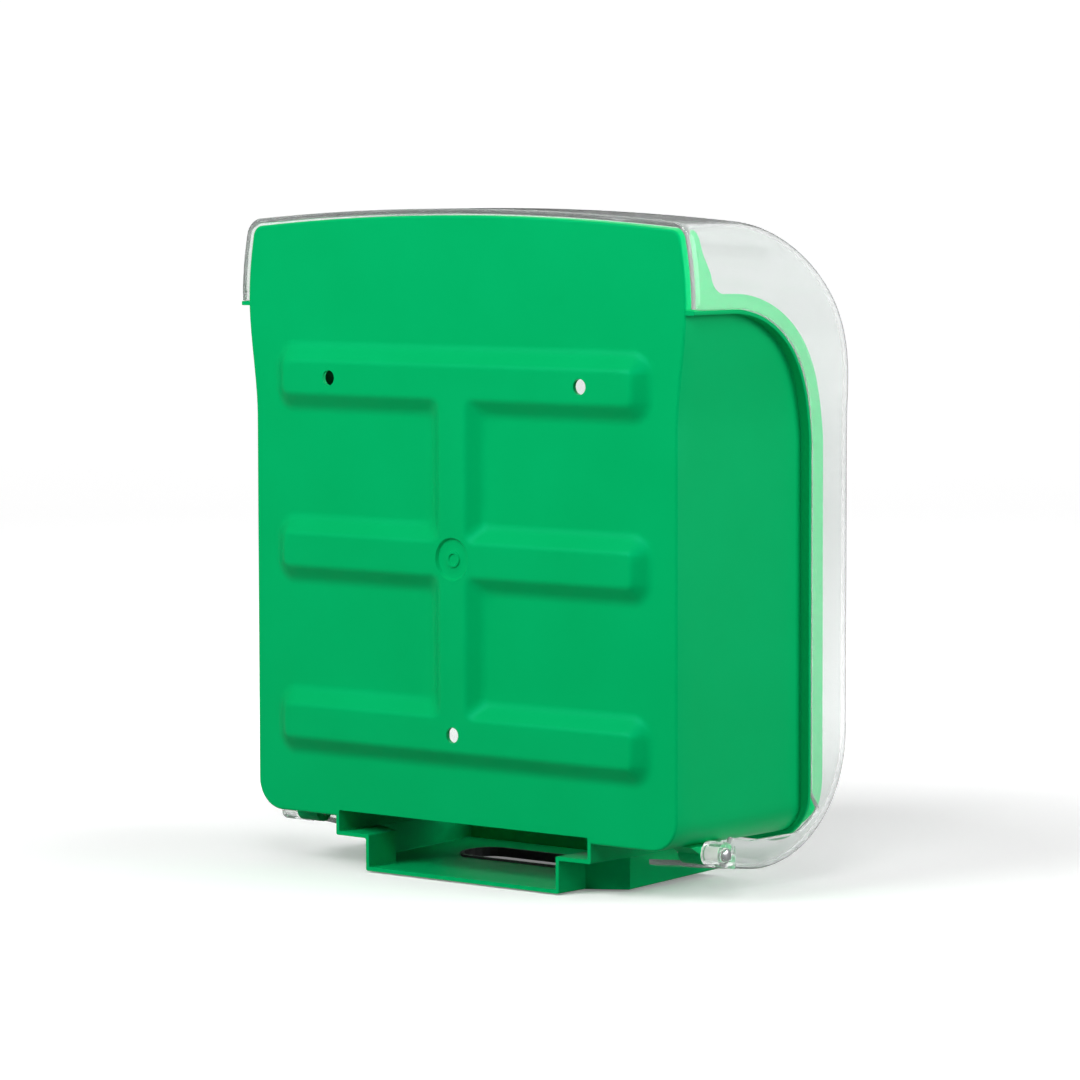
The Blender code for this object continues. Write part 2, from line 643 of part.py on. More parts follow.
def build_hinges():
    for name, side in SIDES:
        centre = (0, -HINGE_Y, HINGE_Z)
        head = KNUCKLE_OUTER_X
        pin = [(PIN_RADIUS, LUG_INNER_X - 5 * MM), (PIN_RADIUS, head + GAP),
               (3.5 * MM, head + GAP), (3.5 * MM, head + 1.3 * MM), (2.8 * MM, head + 1.8 * MM)]
        pin = [(r, side * x) for r, x in pin]
        part("hinge_pin_" + name, turned("X", centre, pin), STEEL)
        bush = part("hinge_bush_" + name, turned("X", centre, [
            (BUSH_RADIUS, side * (KNUCKLE_INNER_X + 0.2 * MM)),
            (BUSH_RADIUS, side * (KNUCKLE_OUTER_X - 0.2 * MM))]), NYLON)
        hole = turned("X", centre, [(PIN_RADIUS + GAP, side * 150 * MM), (PIN_RADIUS + GAP, side * 175 * MM)])
        cut(bush, tool("bush_bore_" + name, hole))
        set_origin(bush, HINGE_POINT)
        clip = part("pin_clip_" + name, turned("X", centre, [
            (3.3 * MM, side * (LUG_INNER_X - 2.3 * MM)), (3.3 * MM, side * (LUG_INNER_X - 1.1 * MM))]), STEEL)
        hole = turned("X", centre, [(PIN_RADIUS + 0.2 * MM, side * 120 * MM),
                                    (PIN_RADIUS + 0.2 * MM, side * 140 * MM)])
        cut(clip, tool("clip_bore_" + name, hole))
        mouth = box_outline(HINGE_Y - 1.5 * MM, HINGE_Y + 1.5 * MM, HINGE_Z - 9 * MM, HINGE_Z)
        x0, x1 = sorted((side * 120 * MM, side * 140 * MM))
        cut(clip, tool("clip_mouth_" + name, prism_x(mouth, x0, x1)))


# --- Lock -------------------------------------------------------------------------------------

def build_lock():
    centre = (0, 0, LOCK_Z)
    face = LOCK_FACE_Y + GAP
    body_rear = CAM_Y + CAM_THICK + 4.5 * MM
    body = part("lock_body", turned("Y", centre, [
        (LOCK_BODY_RADIUS, body_rear), (LOCK_BODY_RADIUS, face), (11 * MM, face),
        (11 * MM, face + 1.6 * MM), (10 * MM, face + 2.6 * MM)], 32), STEEL)
    bore = [(PLUG_RADIUS + GAP, body_rear - 5 * MM), (PLUG_RADIUS + GAP, face + 5 * MM)]
    cut(body, tool("lock_body_bore", turned("Y", centre, bore)))

    plug = part("lock_plug", turned("Y", centre, [
        (PLUG_RADIUS, body_rear - 1.2 * MM), (PLUG_RADIUS, face + 2.2 * MM),
        (PLUG_RADIUS - 0.4 * MM, face + 2.6 * MM)]), STEEL)
    tang = box_outline(-3.4 * MM, 3.4 * MM, LOCK_Z - 3.4 * MM, LOCK_Z + 3.4 * MM)
    join(plug, tool("plug_tang", prism_y(tang, CAM_Y + 0.1 * MM, body_rear)))
    keyway = [(0.9 * MM, LOCK_Z - 3.6 * MM), (0.9 * MM, LOCK_Z + 3.6 * MM),
              (-0.9 * MM, LOCK_Z + 3.6 * MM), (-0.9 * MM, LOCK_Z - 3.6 * MM)]
    cut(plug, tool("keyway", prism_y(keyway, face - 8 * MM, face + 5 * MM)))
    pilot = [(SCREW_RADIUS - 0.2 * MM, CAM_Y - 3 * MM), (SCREW_RADIUS - 0.2 * MM, CAM_Y + 9 * MM)]
    cut(plug, tool("cam_screw_pilot", turned("Y", centre, pilot)))

    washer = part("lock_washer", turned("Y", centre, [
        (11.4 * MM, LOCK_FACE_Y - COVER_WALL - 1.3 * MM), (11.4 * MM, LOCK_FACE_Y - COVER_WALL - GAP)]), STEEL)
    nut_front = LOCK_FACE_Y - COVER_WALL - 1.6 * MM
    nut = part("lock_nut", turned("Y", centre, [(11 * MM, nut_front - 4 * MM), (11 * MM, nut_front)], 6), STEEL)
    thread = [(LOCK_BODY_RADIUS + GAP, 140 * MM), (LOCK_BODY_RADIUS + GAP, 175 * MM)]
    cut(washer, tool("washer_bore", turned("Y", centre, thread)))
    cut(nut, tool("nut_bore", turned("Y", centre, thread)))

    half = CAM_WIDTH / 2
    outline = arc(0, LOCK_Z, half, 90, 270, 10)
    outline += [(CAM_REACH - 4 * MM, LOCK_Z - half), (CAM_REACH, LOCK_Z - half + 4 * MM),
                (CAM_REACH, LOCK_Z + half - 4 * MM), (CAM_REACH - 4 * MM, LOCK_Z + half)]
    cam = part("lock_cam", prism_y(outline, CAM_Y, CAM_Y + CAM_THICK), STEEL)
    square = box_outline(-3.7 * MM, 3.7 * MM, LOCK_Z - 3.7 * MM, LOCK_Z + 3.7 * MM)
    cut(cam, tool("cam_square", prism_y(square, CAM_Y - 2 * MM, CAM_Y + 6 * MM)))
    screw = part("cam_screw", turned("Y", centre, [
        (4.6 * MM, CAM_Y - 2.6 * MM), (5.2 * MM, CAM_Y - 1.6 * MM), (5.2 * MM, CAM_Y - GAP),
        (SCREW_RADIUS - 0.5 * MM, CAM_Y - GAP), (SCREW_RADIUS - 0.5 * MM, CAM_Y + 8 * MM)]), STEEL)
    for piece in (plug, cam, screw):
        set_origin(piece, LOCK_POINT)


# --- Bag magazine -----------------------------------------------------------------------------

def build_guides():
    """Sheet guides either side of the bags, bent out at the rear for screws and in at the front."""
    for name, side in SIDES:
        web_in, web_out = GUIDE_X - SHEET, GUIDE_X
        outline = [
            (web_in, GUIDE_REAR_Y), (GUIDE_BOSS_X + 7 * MM, GUIDE_REAR_Y),
            (GUIDE_BOSS_X + 7 * MM, GUIDE_REAR_Y + SHEET), (web_out, GUIDE_REAR_Y + SHEET),
            (web_out, GUIDE_FRONT_Y), (web_out - 9 * MM, GUIDE_FRONT_Y),
            (web_out - 9 * MM, GUIDE_FRONT_Y - SHEET), (web_in, GUIDE_FRONT_Y - SHEET)]
        outline = [(side * x, y) for x, y in outline]
        guide = part("bag_guide_" + name, prism_z(outline, GUIDE_FOOT_Z, GUIDE_TOP_Z), DARK)
        for index, z in enumerate(GUIDE_BOSS_ZS):
            centre = (side * GUIDE_BOSS_X, 0, z)
            clearance = [(SCREW_RADIUS + GAP, GUIDE_REAR_Y - 3 * MM), (SCREW_RADIUS + GAP, GUIDE_REAR_Y + 6 * MM)]
            cut(guide, tool("guide_hole_%s_%d" % (name, index), turned("Y", centre, clearance)))
            level = ("upper", "lower")[index]
            seat = GUIDE_REAR_Y + SHEET + GAP
            part("guide_screw_%s_%s" % (level, name), turned("Y", centre, [
                (SCREW_RADIUS, 10.5 * MM), (SCREW_RADIUS, seat), (4 * MM, seat),
                (4 * MM, seat + 1.4 * MM), (3 * MM, seat + 2.4 * MM)], 20), STEEL)
        relief = box_outline(side * 90 * MM, side * web_in, -16 * MM, 60 * MM)
        cut(guide, tool("guide_relief_" + name, prism_y(relief, 100 * MM, 112 * MM)))
        centre = (0, -BAR_SCREW_Y, BAR_MID_Z)
        hole = turned("X", centre, [(SCREW_RADIUS + GAP, side * 95 * MM), (SCREW_RADIUS + GAP, side * 115 * MM)])
        cut(guide, tool("bar_hole_" + name, hole))


def build_shelf():
    """Shelf under the bags, with the slot that they are drawn through."""
    outline = box_outline(-131 * MM, 131 * MM, 13.5 * MM, 110 * MM)
    shelf = part("bag_shelf", prism_z(outline, SHELF_Z, SHELF_Z + 2 * MM), DARK)
    slot = [(x, y + SLOT_Y - 16 * MM) for x, y in stadium(SLOT_HALF, 15 * MM)]
    cut(shelf, tool("shelf_slot", prism_z(slot, SHELF_Z - 5 * MM, SHELF_Z + 8 * MM)))
    for name, side in SIDES:
        for index, y in enumerate(SHELF_BOSS_YS):
            centre = (side * SHELF_BOSS_X, -y, 0)
            clearance = [(SCREW_RADIUS + GAP, SHELF_Z - 5 * MM), (SCREW_RADIUS + GAP, SHELF_Z + 8 * MM)]
            cut(shelf, tool("shelf_hole_%s_%d" % (name, index), turned("Z", centre, clearance)))
            level = ("rear", "front")[index]
            seat = SHELF_Z + 2 * MM + GAP
            part("shelf_screw_%s_%s" % (level, name), turned("Z", centre, [
                (SCREW_RADIUS, SHELF_Z - 3.8 * MM), (SCREW_RADIUS, seat), (4 * MM, seat),
                (4 * MM, seat + 1.4 * MM), (3 * MM, seat + 2.4 * MM)], 20), STEEL)


def build_retainer_bar():
    """Strap across the front of the magazine: it holds the bags back, and the cam locks behind it."""
    outside = GUIDE_X - SHEET - GAP
    inside = outside - 1.8 * MM
    front = BAR_Y + 1.6 * MM
    right = [(inside, 86 * MM), (outside, 86 * MM), (outside, front - 3 * MM), (outside - 3 * MM, front)]
    left = [(-x, y) for x, y in reversed(right)]
    inner = [(-(inside - 2 * MM), BAR_Y), (inside - 2 * MM, BAR_Y), (inside, BAR_Y - 2 * MM)]
    outline = right + left + [(-inside, BAR_Y - 2 * MM)] + inner
    bar = part("retainer_bar", prism_z(outline, BAR_LOW_Z, BAR_HIGH_Z), STEEL)
    for name, side in SIDES:
        centre = (0, -BAR_SCREW_Y, BAR_MID_Z)
        hole = turned("X", centre, [(SCREW_RADIUS + GAP, side * 95 * MM), (SCREW_RADIUS + GAP, side * 115 * MM)])
        cut(bar, tool("bar_arm_hole_" + name, hole))
        seat = inside - GAP
        part("bar_screw_" + name, turned("X", centre, [(r, side * x) for r, x in (
            (3 * MM, seat - 2.2 * MM), (4 * MM, seat - 1.2 * MM), (4 * MM, seat),
            (SCREW_RADIUS, seat), (SCREW_RADIUS, GUIDE_X + 5 * MM))], 20), STEEL)
        nut = part("bar_nut_" + name, turned("X", centre, [
            (4.4 * MM, side * (GUIDE_X + GAP)), (4.4 * MM, side * (GUIDE_X + 3.5 * MM))], 6), STEEL)
        hole = turned("X", centre, [(SCREW_RADIUS + GAP, side * 100 * MM), (SCREW_RADIUS + GAP, side * 120 * MM)])
        cut(nut, tool("bar_nut_bore_" + name, hole))


def build_follower():
    """Weighted plate that rides down on the bags, with a grip to lift it by."""
    half = 97 * MM
    outline = [(x, y + FOLLOWER_Y) for x, y in rounded_rectangle(half, 42 * MM, 6 * MM)]
    plate = part("follower_plate", prism_z(outline, FOLLOWER_Z, FOLLOWER_Z + 4 * MM), STEEL)
    hole = turned("Z", (0, -FOLLOWER_Y, 0), [(2.4 * MM, FOLLOWER_Z - 3 * MM), (2.4 * MM, FOLLOWER_Z + 8 * MM)])
    cut(plate, tool("grip_hole", hole))
    base = FOLLOWER_Z + 4 * MM + GAP
    grip = part("follower_grip", turned("Z", (0, -FOLLOWER_Y, 0), [
        (7 * MM, base), (6 * MM, base + 3 * MM), (6 * MM, base + 6 * MM), (9.5 * MM, base + 9 * MM),
        (10 * MM, base + 11.5 * MM), (8 * MM, base + 13.5 * MM)], 28), DARK)
    stud = turned("Z", (0, -FOLLOWER_Y, 0), [(2 * MM, FOLLOWER_Z + 0.4 * MM), (2 * MM, base + 2 * MM)])
    join(grip, tool("grip_stud", stud))


def rounded_rectangle(half_x, half_y, radius):
    points = []
    for cx, cy, start in ((1, -1, -90), (1, 1, 0), (-1, 1, 90), (-1, -1, 180)):
        points += arc(cx * (half_x - radius), cy * (half_y - radius), radius, start, start + 90, 4)
    return points


def build_outlet_bezel():
    """Smooth ring pressed into the chute's bottom slot, so that bags tear off without snagging."""
    bezel = part("outlet_bezel", tilted_slot(SLOT_HALF + 4 * MM, SLOT_RADIUS + 4 * MM, -1.9 * MM, -GAP), DARK)
    collar = tilted_slot(SLOT_HALF - GAP, SLOT_RADIUS - GAP, -1 * MM, CHUTE_WALL + 1.2 * MM)
    join(bezel, tool("bezel_collar", collar))
    mouth = tilted_slot(SLOT_HALF - 2 * MM, SLOT_RADIUS - 2 * MM, -6 * MM, 10 * MM)
    cut(bezel, tool("bezel_mouth", mouth))


# --- Build ------------------------------------------------------------------------------------

clear_scene()
PARTS = collection("dog_waste_bag_unit")
CUTTERS = collection("cutters")
CUTTERS.hide_render = True
build_housing()
build_cover()
build_hinges()
build_lock()
build_guides()
build_shelf()
build_retainer_bar()
build_follower()
build_outlet_bezel()
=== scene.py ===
"""Looks for the wall-mounted dog waste bag unit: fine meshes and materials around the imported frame.

Frame: the wall is the plane Y = 0 and the unit stands out along -Y, +Z is up and X = 0 is the plane
of symmetry. Depths are distances off the wall, so a depth d lies at Y = -d.
"""
import json
import math

import bmesh
import bpy
import numpy as np
from mathutils import Matrix, Vector


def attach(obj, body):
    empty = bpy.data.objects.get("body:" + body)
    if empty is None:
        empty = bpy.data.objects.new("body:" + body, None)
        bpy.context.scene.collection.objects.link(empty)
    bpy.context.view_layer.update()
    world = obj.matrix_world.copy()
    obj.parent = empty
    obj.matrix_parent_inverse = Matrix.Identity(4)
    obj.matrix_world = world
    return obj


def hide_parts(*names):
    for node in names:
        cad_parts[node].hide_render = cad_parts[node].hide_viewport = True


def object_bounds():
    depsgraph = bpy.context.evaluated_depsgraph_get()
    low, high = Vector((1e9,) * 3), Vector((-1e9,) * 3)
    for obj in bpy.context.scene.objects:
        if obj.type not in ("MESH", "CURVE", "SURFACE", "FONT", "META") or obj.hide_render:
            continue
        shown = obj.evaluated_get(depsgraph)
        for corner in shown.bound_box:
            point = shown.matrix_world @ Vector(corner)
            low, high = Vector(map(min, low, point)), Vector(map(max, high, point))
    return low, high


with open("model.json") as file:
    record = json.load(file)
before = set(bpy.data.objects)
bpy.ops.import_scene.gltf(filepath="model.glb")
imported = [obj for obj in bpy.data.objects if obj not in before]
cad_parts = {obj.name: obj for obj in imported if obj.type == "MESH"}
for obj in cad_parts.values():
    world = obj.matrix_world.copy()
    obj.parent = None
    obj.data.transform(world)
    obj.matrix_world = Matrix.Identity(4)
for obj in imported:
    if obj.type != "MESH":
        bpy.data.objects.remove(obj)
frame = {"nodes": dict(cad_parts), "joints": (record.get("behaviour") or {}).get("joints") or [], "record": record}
CAD_BOX = [list(corner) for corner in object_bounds()]
NODES = frame["nodes"]
JOINTS = {joint["name"]: joint for joint in frame["joints"]}
MM = 0.001
SIDES = (("left", 1), ("right", -1))

# Camera
VIEW_TURN = 40.0  # degrees from the back plate's normal, towards -X
VIEW_TILT = 4.41  # degrees above the horizon
VIEW_ROLL = 0.12
VIEW_DISTANCE = 2.792
VIEW_RIGHT = 0.0507  # how far right of the origin the camera looks
VIEW_UP = -0.0902
LENS_MM = 162.87

# Stage
FLOOR_Z = CAD_BOX[0][2] - 0.2 * MM
FLOOR_HALF = 8.0
FLOOR_NEAR = -8.0  # where the floor starts, on the camera's side
FLOOR_FAR = 3.0  # where it starts to curve up into the backdrop
FLOOR_CURVE = 2.0
BACKDROP_TOP = 7.0
FLOOR_GLOW = 0.72  # the floor's own light, far from the unit
NEAR_GLOW_PAINTED_SHADOW = 0.2  # and close to it, lowered there to paint a shadow on the floor round the unit
# scale of the fade from the full floor glow down to the painted shadow near the unit
PAINTED_SHADOW_REACH = 3.0
FLOOR_BOUNCE = 0.3  # how pale the floor is to light that bounces off it
WORLD_LIGHT = 0.1
LIGHT_AIM = (0, -0.08, -0.1)

# Housing
WALL = 2.5 * MM
PLATE = 7 * MM  # depth of the back plate's rear face
PLATE_EDGE = 1.3 * MM  # radius round the back plate's rear edge
PLATE_EDGE_INSIDE = 0.9 * MM
BODY_HALF = 159 * MM
SHOULDER_HALF = 165 * MM
SHOULDER_Z = 45 * MM
FLARE_Z = -25 * MM
SHOULDER_FALL = 2.8  # how fast the sides close above the shoulder, per metre
BOTTOM_Z = -258.4 * MM
TOP_Z = 95.2 * MM
TOP_DROP = 6.9 * MM  # how far the arched top falls from its middle to its corners
ARCH_FOOT_Z = 58 * MM  # the plate's rows start to follow the arched top here
STRAIGHT_X = 118 * MM  # the plate's columns inside this stay straight
BOTTOM_CORNER = 18 * MM
TOP_CORNER = 7 * MM
DRAFT = 0.02  # how much the sides widen towards the front
LIP_DEPTH = 137 * MM  # front edge of the side walls
LIP_Z = 52 * MM
LIP_RADIUS = 89 * MM
LIP_FOOT_Z = -225 * MM
LIP_FOOT_RADIUS = 50 * MM
LIP_NOTCH = 11 * MM  # radius of the notch behind the lip's upper end
RIM_DEPTH = 118 * MM
RIM_Z = 41 * MM
RIM_RADIUS = 75.5 * MM
RIM_THICK = 2.5 * MM
RIM_PROUD = 6 * MM
RIM_CORNER = 30 * MM
RIM_CLEAR = 0.8 * MM
RIM_EDGE = 0.6 * MM
ROOT = 1.2 * MM  # how far a joined shape reaches into the wall it grows from
RIB_FLAT = 9.7 * MM
RIB_BASE = 19 * MM
RIB_END = 131.5 * MM
RIB_PITCH = 101.5 * MM
RIB_CORNER = 4 * MM
RIB_BLEND = 7 * MM
RIB_HEAD = 1.7 * MM  # lengths over which the slope's two ends are rounded
RIB_FOOT = 3.0 * MM
RIB_INSIDE = 0.84 * MM  # how much narrower the hollow inside a rib is
FINE = 0.85 * MM  # grid step across the ribs' sloping sides
SLOPE_IN = RIB_FLAT - 2.6 * MM  # the slope, with a margin on both sides
SLOPE_OUT = RIB_BASE + 3.4 * MM
FIXING_X = 95 * MM
FIXING_RADIUS = 4.5 * MM

# Screw bosses
GUIDE_SCREW_X = 116 * MM
GUIDE_SCREW_Z = (("upper", -RIB_PITCH / 2), ("lower", -3 * RIB_PITCH / 2))
SHELF_SCREW_X = 122 * MM
SHELF_SCREW_DEPTH = (("rear", 30 * MM), ("front", 98 * MM))
BOSS_BASE = 4.6 * MM
BOSS_TIP = 4.2 * MM
GUIDE_BOSS_DEPTH = 15.7 * MM
SHELF_BOSS_Z = -250.9 * MM
PILOT = 2.3 * MM
SHANK = 2 * MM  # M4 screws
HEAD = 4 * MM

# Chute
CHUTE_HALF = 97 * MM
CHUTE_NECK = 73.5 * MM
CHUTE_SHELF_Z = -269.7 * MM
CHUTE_BOTTOM_Z = -288.8 * MM
CHUTE_RISE = 0.035
CHUTE_MOUTH_Z = -254.8 * MM
CHUTE_FLARE = 31 * MM
CHUTE_FULL = 43 * MM
CHUTE_FRONT = 127 * MM
CHUTE_WALL = 2.3 * MM
SLOT_HALF = 62 * MM
SLOT_RADIUS = 17 * MM
SLOT_DEPTH = 84 * MM

# Cover
COVER_WALL = 3 * MM
COVER_FRONT = 162.7 * MM
COVER_TOP_Z = 92.5 * MM
COVER_TOP_RADIUS = 110 * MM
COVER_BOTTOM_Z = -276 * MM
COVER_BOTTOM_RADIUS = 75 * MM
COVER_REAR = 8.5 * MM
COVER_CORNER = 15 * MM
COVER_TOP_CORNER = 9 * MM
COVER_CROWN = 6.5 * MM
COVER_OFFSET = 6 * MM
EAR_TOP_Z = -257 * MM
EAR_RISE = 8 * MM
CHUTE_CUT_HALF = 100.5 * MM
CHUTE_CUT_DEPTH = 138 * MM

# Hinge and lock
HINGE_DEPTH = -JOINTS["cover_hinge"]["pos_m"][1]
HINGE_Z = JOINTS["cover_hinge"]["pos_m"][2]
KNUCKLE_RADIUS = 7.2 * MM
KNUCKLE_INNER = 154.5 * MM
KNUCKLE_OUTER = 166.5 * MM
LUG_INNER = 138 * MM
LUG_OUTER = 153.8 * MM
PIN_BORE = 2.3 * MM
BUSH_BORE = 4.3 * MM
LOCK_Z = JOINTS["lock_turn"]["pos_m"][2]
CAM_DEPTH = -JOINTS["lock_turn"]["pos_m"][1]
LOCK_FACE = 169.4 * MM
LOCK_BOSS = 15 * MM
LOCK_POCKET = 12.2 * MM
LOCK_BORE = 8.3 * MM
LOCK_REAR = 140.5 * MM  # rear end of the lock body
LOCK_FRONT = LOCK_FACE + 0.3 * MM  # rear face of the lock's flange
LOCK_SEAT = LOCK_FACE - COVER_WALL  # the bottom of the pocket behind the lock
LOCK_CENTRE = (0, 0, LOCK_Z)

# Bag magazine
GUIDE_X = 105 * MM
SHELF_Z = -250.6 * MM
BAR_Z = 29 * MM
BAR_SCREW_DEPTH = 97 * MM
FOLLOWER_DEPTH = 60 * MM
FOLLOWER_Z = SHELF_Z + 3 * MM
FOLLOWER_THICK = 4 * MM


# --- Camera ---

def add_camera():
    """Camera behind the unit and to its right-hand side, level with it and looking slightly down."""
    turn, tilt = math.radians(VIEW_TURN), math.radians(VIEW_TILT)
    ahead = Vector((math.sin(turn) * math.cos(tilt), -math.cos(turn) * math.cos(tilt), -math.sin(tilt)))
    right = Vector((-math.cos(turn), -math.sin(turn), 0))
    up = right.cross(ahead)
    data = bpy.data.cameras.new("camera")
    data.lens = LENS_MM
    data.sensor_width = 36.0
    data.clip_start = 0.05
    data.clip_end = 100.0
    camera = bpy.data.objects.new("camera", data)
    bpy.context.scene.collection.objects.link(camera)
    place = right * VIEW_RIGHT + up * VIEW_UP - ahead * VIEW_DISTANCE
    turned_axes = Matrix((right, up, -ahead)).transposed()
    roll = Matrix.Rotation(math.radians(-VIEW_ROLL), 3, "Z")
    camera.matrix_world = Matrix.Translation(place) @ (turned_axes @ roll).to_4x4()
    bpy.context.scene.camera = camera


# --- Materials ---

def principled(name, colour, roughness, metallic=0.0):
    """New node material: (material, its tree, its Principled shader)."""
    mat = bpy.data.materials.new(name)
    mat.use_nodes = True
    tree = mat.node_tree
    shader = tree.nodes["Principled BSDF"]
    shader.inputs["Base Color"].default_value = (*colour, 1.0)
    shader.inputs["Roughness"].default_value = roughness
    shader.inputs["Metallic"].default_value = metallic
    return mat, tree, shader


def noise(tree, scale, detail=2.0, stretch=(1, 1, 1)):
    """Noise over the piece's own coordinates, at a scale in features per metre."""
    coords = tree.nodes.new("ShaderNodeTexCoord")
    mapping = tree.nodes.new("ShaderNodeMapping")
    mapping.inputs["Scale"].default_value = stretch
    texture = tree.nodes.new("ShaderNodeTexNoise")
    texture.inputs["Scale"].default_value = scale
    texture.inputs["Detail"].default_value = detail
    tree.links.new(coords.outputs["Object"], mapping.inputs["Vector"])
    tree.links.new(mapping.outputs["Vector"], texture.inputs["Vector"])
    return texture.outputs["Fac"]


def ramp(tree, value, low, high, start=0.3, end=0.7):
    """Colour ramp between two colours, or between two grey levels."""
    node = tree.nodes.new("ShaderNodeValToRGB")
    for element, colour, place in zip(node.color_ramp.elements, (low, high), (start, end)):
        element.color = (*colour, 1.0) if isinstance(colour, tuple) else (colour, colour, colour, 1.0)
        element.position = place
    tree.links.new(value, node.inputs["Fac"])
    return node.outputs["Color"]


def bump(tree, shader, height, distance, strength=0.5):
    node = tree.nodes.new("ShaderNodeBump")
    node.inputs["Distance"].default_value = distance
    node.inputs["Strength"].default_value = strength
    tree.links.new(height, node.inputs["Height"])
    tree.links.new(node.outputs["Normal"], shader.inputs["Normal"])


def math_node(tree, operation, first, second):
    """Clamped sum, difference or larger of two values."""
    node = tree.nodes.new("ShaderNodeMath")
    node.operation = operation
    node.use_clamp = True
    tree.links.new(first, node.inputs[0])
    tree.links.new(second, node.inputs[1])
    return node.outputs["Value"]


def switch(tree, share, shader, other, output):
    """Send one shader to an output node, or the other where the share is 1."""
    mix = tree.nodes.new("ShaderNodeMixShader")
    tree.links.new(share, mix.inputs["Fac"])
    tree.links.new(shader, mix.inputs[1])
    tree.links.new(other, mix.inputs[2])
    tree.links.new(mix.outputs["Shader"], tree.nodes[output].inputs["Surface"])


def surface(tree, shader, colours, roughness, colour_scale, rough_scale, stretch=(1, 1, 1)):
    """Drive a shader's colour and roughness between two values each with noise."""
    tint = ramp(tree, noise(tree, colour_scale, 3.0, stretch), *colours)
    tree.links.new(tint, shader.inputs["Base Color"])
    gloss = ramp(tree, noise(tree, rough_scale, 4.0, stretch), *roughness)
    tree.links.new(gloss, shader.inputs["Roughness"])


def moulded_green():
    """Satin injection-moulded plastic: a fine tool texture, and faint flow marks in its gloss."""
    mat, tree, shader = principled("moulded_green", (0.0, 0.42, 0.12), 0.4)
    surface(tree, shader, ((0.0, 0.41, 0.115), (0.0, 0.43, 0.125)), (0.36, 0.44), 14.0, 30.0)
    shader.inputs["IOR"].default_value = 1.4
    shader.inputs["Specular IOR Level"].default_value = 0.22
    shader.inputs["Specular Tint"].default_value = (0.0, 1.0, 0.85, 1.0)
    bump(tree, shader, noise(tree, 2600.0), 0.05 * MM, 0.25)
    return mat


def clear_plastic():
    """Clear polycarbonate with a slight smoke tint, whose shadow is pale."""
    mat, tree, shader = principled("clear_plastic", (0.86, 0.875, 0.87), 0.03)
    shader.inputs["Transmission Weight"].default_value = 0.9
    shader.inputs["IOR"].default_value = 1.3
    gloss = ramp(tree, noise(tree, 40.0, 3.0), 0.03, 0.07)
    tree.links.new(gloss, shader.inputs["Roughness"])
    bump(tree, shader, noise(tree, 60.0, 1.0), 0.05 * MM, 0.04)
    passing = tree.nodes.new("ShaderNodeBsdfTransparent")
    passing.inputs["Color"].default_value = (0.86, 0.88, 0.875, 1.0)
    path = tree.nodes.new("ShaderNodeLightPath").outputs
    switch(tree, path["Is Shadow Ray"], shader.outputs["BSDF"], passing.outputs["BSDF"], "Material Output")
    return mat


def dark_plastic():
    mat, tree, shader = principled("dark_plastic", (0.03, 0.032, 0.033), 0.5)
    surface(tree, shader, ((0.024, 0.026, 0.027), (0.04, 0.042, 0.043)), (0.42, 0.58), 60.0, 90.0)
    bump(tree, shader, noise(tree, 1800.0), 0.06 * MM, 0.4)
    return mat


def zinc_steel():
    """Zinc-plated sheet and screws: faint spangle in the colour and rolled streaks in the gloss."""
    mat, tree, shader = principled("zinc_steel", (0.6, 0.61, 0.63), 0.32, 1.0)
    surface(tree, shader, ((0.52, 0.53, 0.55), (0.68, 0.69, 0.7)), (0.24, 0.42), 160.0, 220.0, (1, 1, 6))
    bump(tree, shader, noise(tree, 900.0, 3.0), 0.02 * MM, 0.3)
    return mat


def lock_chrome():
    mat, tree, shader = principled("lock_chrome", (0.74, 0.74, 0.75), 0.12, 1.0)
    surface(tree, shader, ((0.7, 0.7, 0.71), (0.78, 0.78, 0.79)), (0.08, 0.2), 90.0, 260.0)
    bump(tree, shader, noise(tree, 1400.0, 2.0), 0.01 * MM, 0.2)
    return mat


def white_nylon():
    mat, tree, shader = principled("white_nylon", (0.78, 0.78, 0.74), 0.45)
    surface(tree, shader, ((0.74, 0.74, 0.69), (0.81, 0.81, 0.78)), (0.38, 0.5), 120.0, 200.0)
    shader.inputs["Subsurface Weight"].default_value = 0.15
    shader.inputs["Subsurface Radius"].default_value = (0.002, 0.002, 0.0018)
    bump(tree, shader, noise(tree, 2200.0), 0.03 * MM, 0.3)
    return mat


# --- Mesh helpers ---

def to_object(name, bm):
    """Turn a bmesh into a linked object with its faces pointing out."""
    bmesh.ops.recalc_face_normals(bm, faces=bm.faces)
    mesh = bpy.data.meshes.new(name)
    bm.to_mesh(mesh)
    bm.free()
    obj = bpy.data.objects.new(name, mesh)
    bpy.context.scene.collection.objects.link(obj)
    return obj


def smooth(obj, angle=35.0):
    obj.data.shade_smooth()
    obj.data.set_sharp_from_angle(angle=math.radians(angle))


def finish_piece(obj, body, slot, *nodes):
    """Give a piece the material of its slot, parent it to its body's empty, and hide the imported nodes that it
    replaces.
    """
    obj.data.materials.append(MATERIALS[slot])
    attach(obj, body)
    if nodes:
        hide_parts(*nodes)


def apply_modifiers(obj):
    graph = bpy.context.evaluated_depsgraph_get()
    mesh = bpy.data.meshes.new_from_object(obj.evaluated_get(graph))
    old = obj.data
    obj.modifiers.clear()
    obj.data = mesh
    bpy.data.meshes.remove(old)


def boolean(obj, operation, others, mend=False):
    """Cut, join or intersect obj with each of the others in turn, and remove them.

    Mending also resolves places where obj's own faces cross, which takes longer.
    """
    for other in others:
        mod = obj.modifiers.new(operation, "BOOLEAN")
        mod.object = other
        mod.operation = operation
        mod.solver = "EXACT"
        mod.use_self = mend
    apply_modifiers(obj)
    for other in others:
        bpy.data.objects.remove(other, do_unlink=True)


def cut(obj, *others):
    boolean(obj, "DIFFERENCE", others)


def join(obj, *others):
    boolean(obj, "UNION", others)


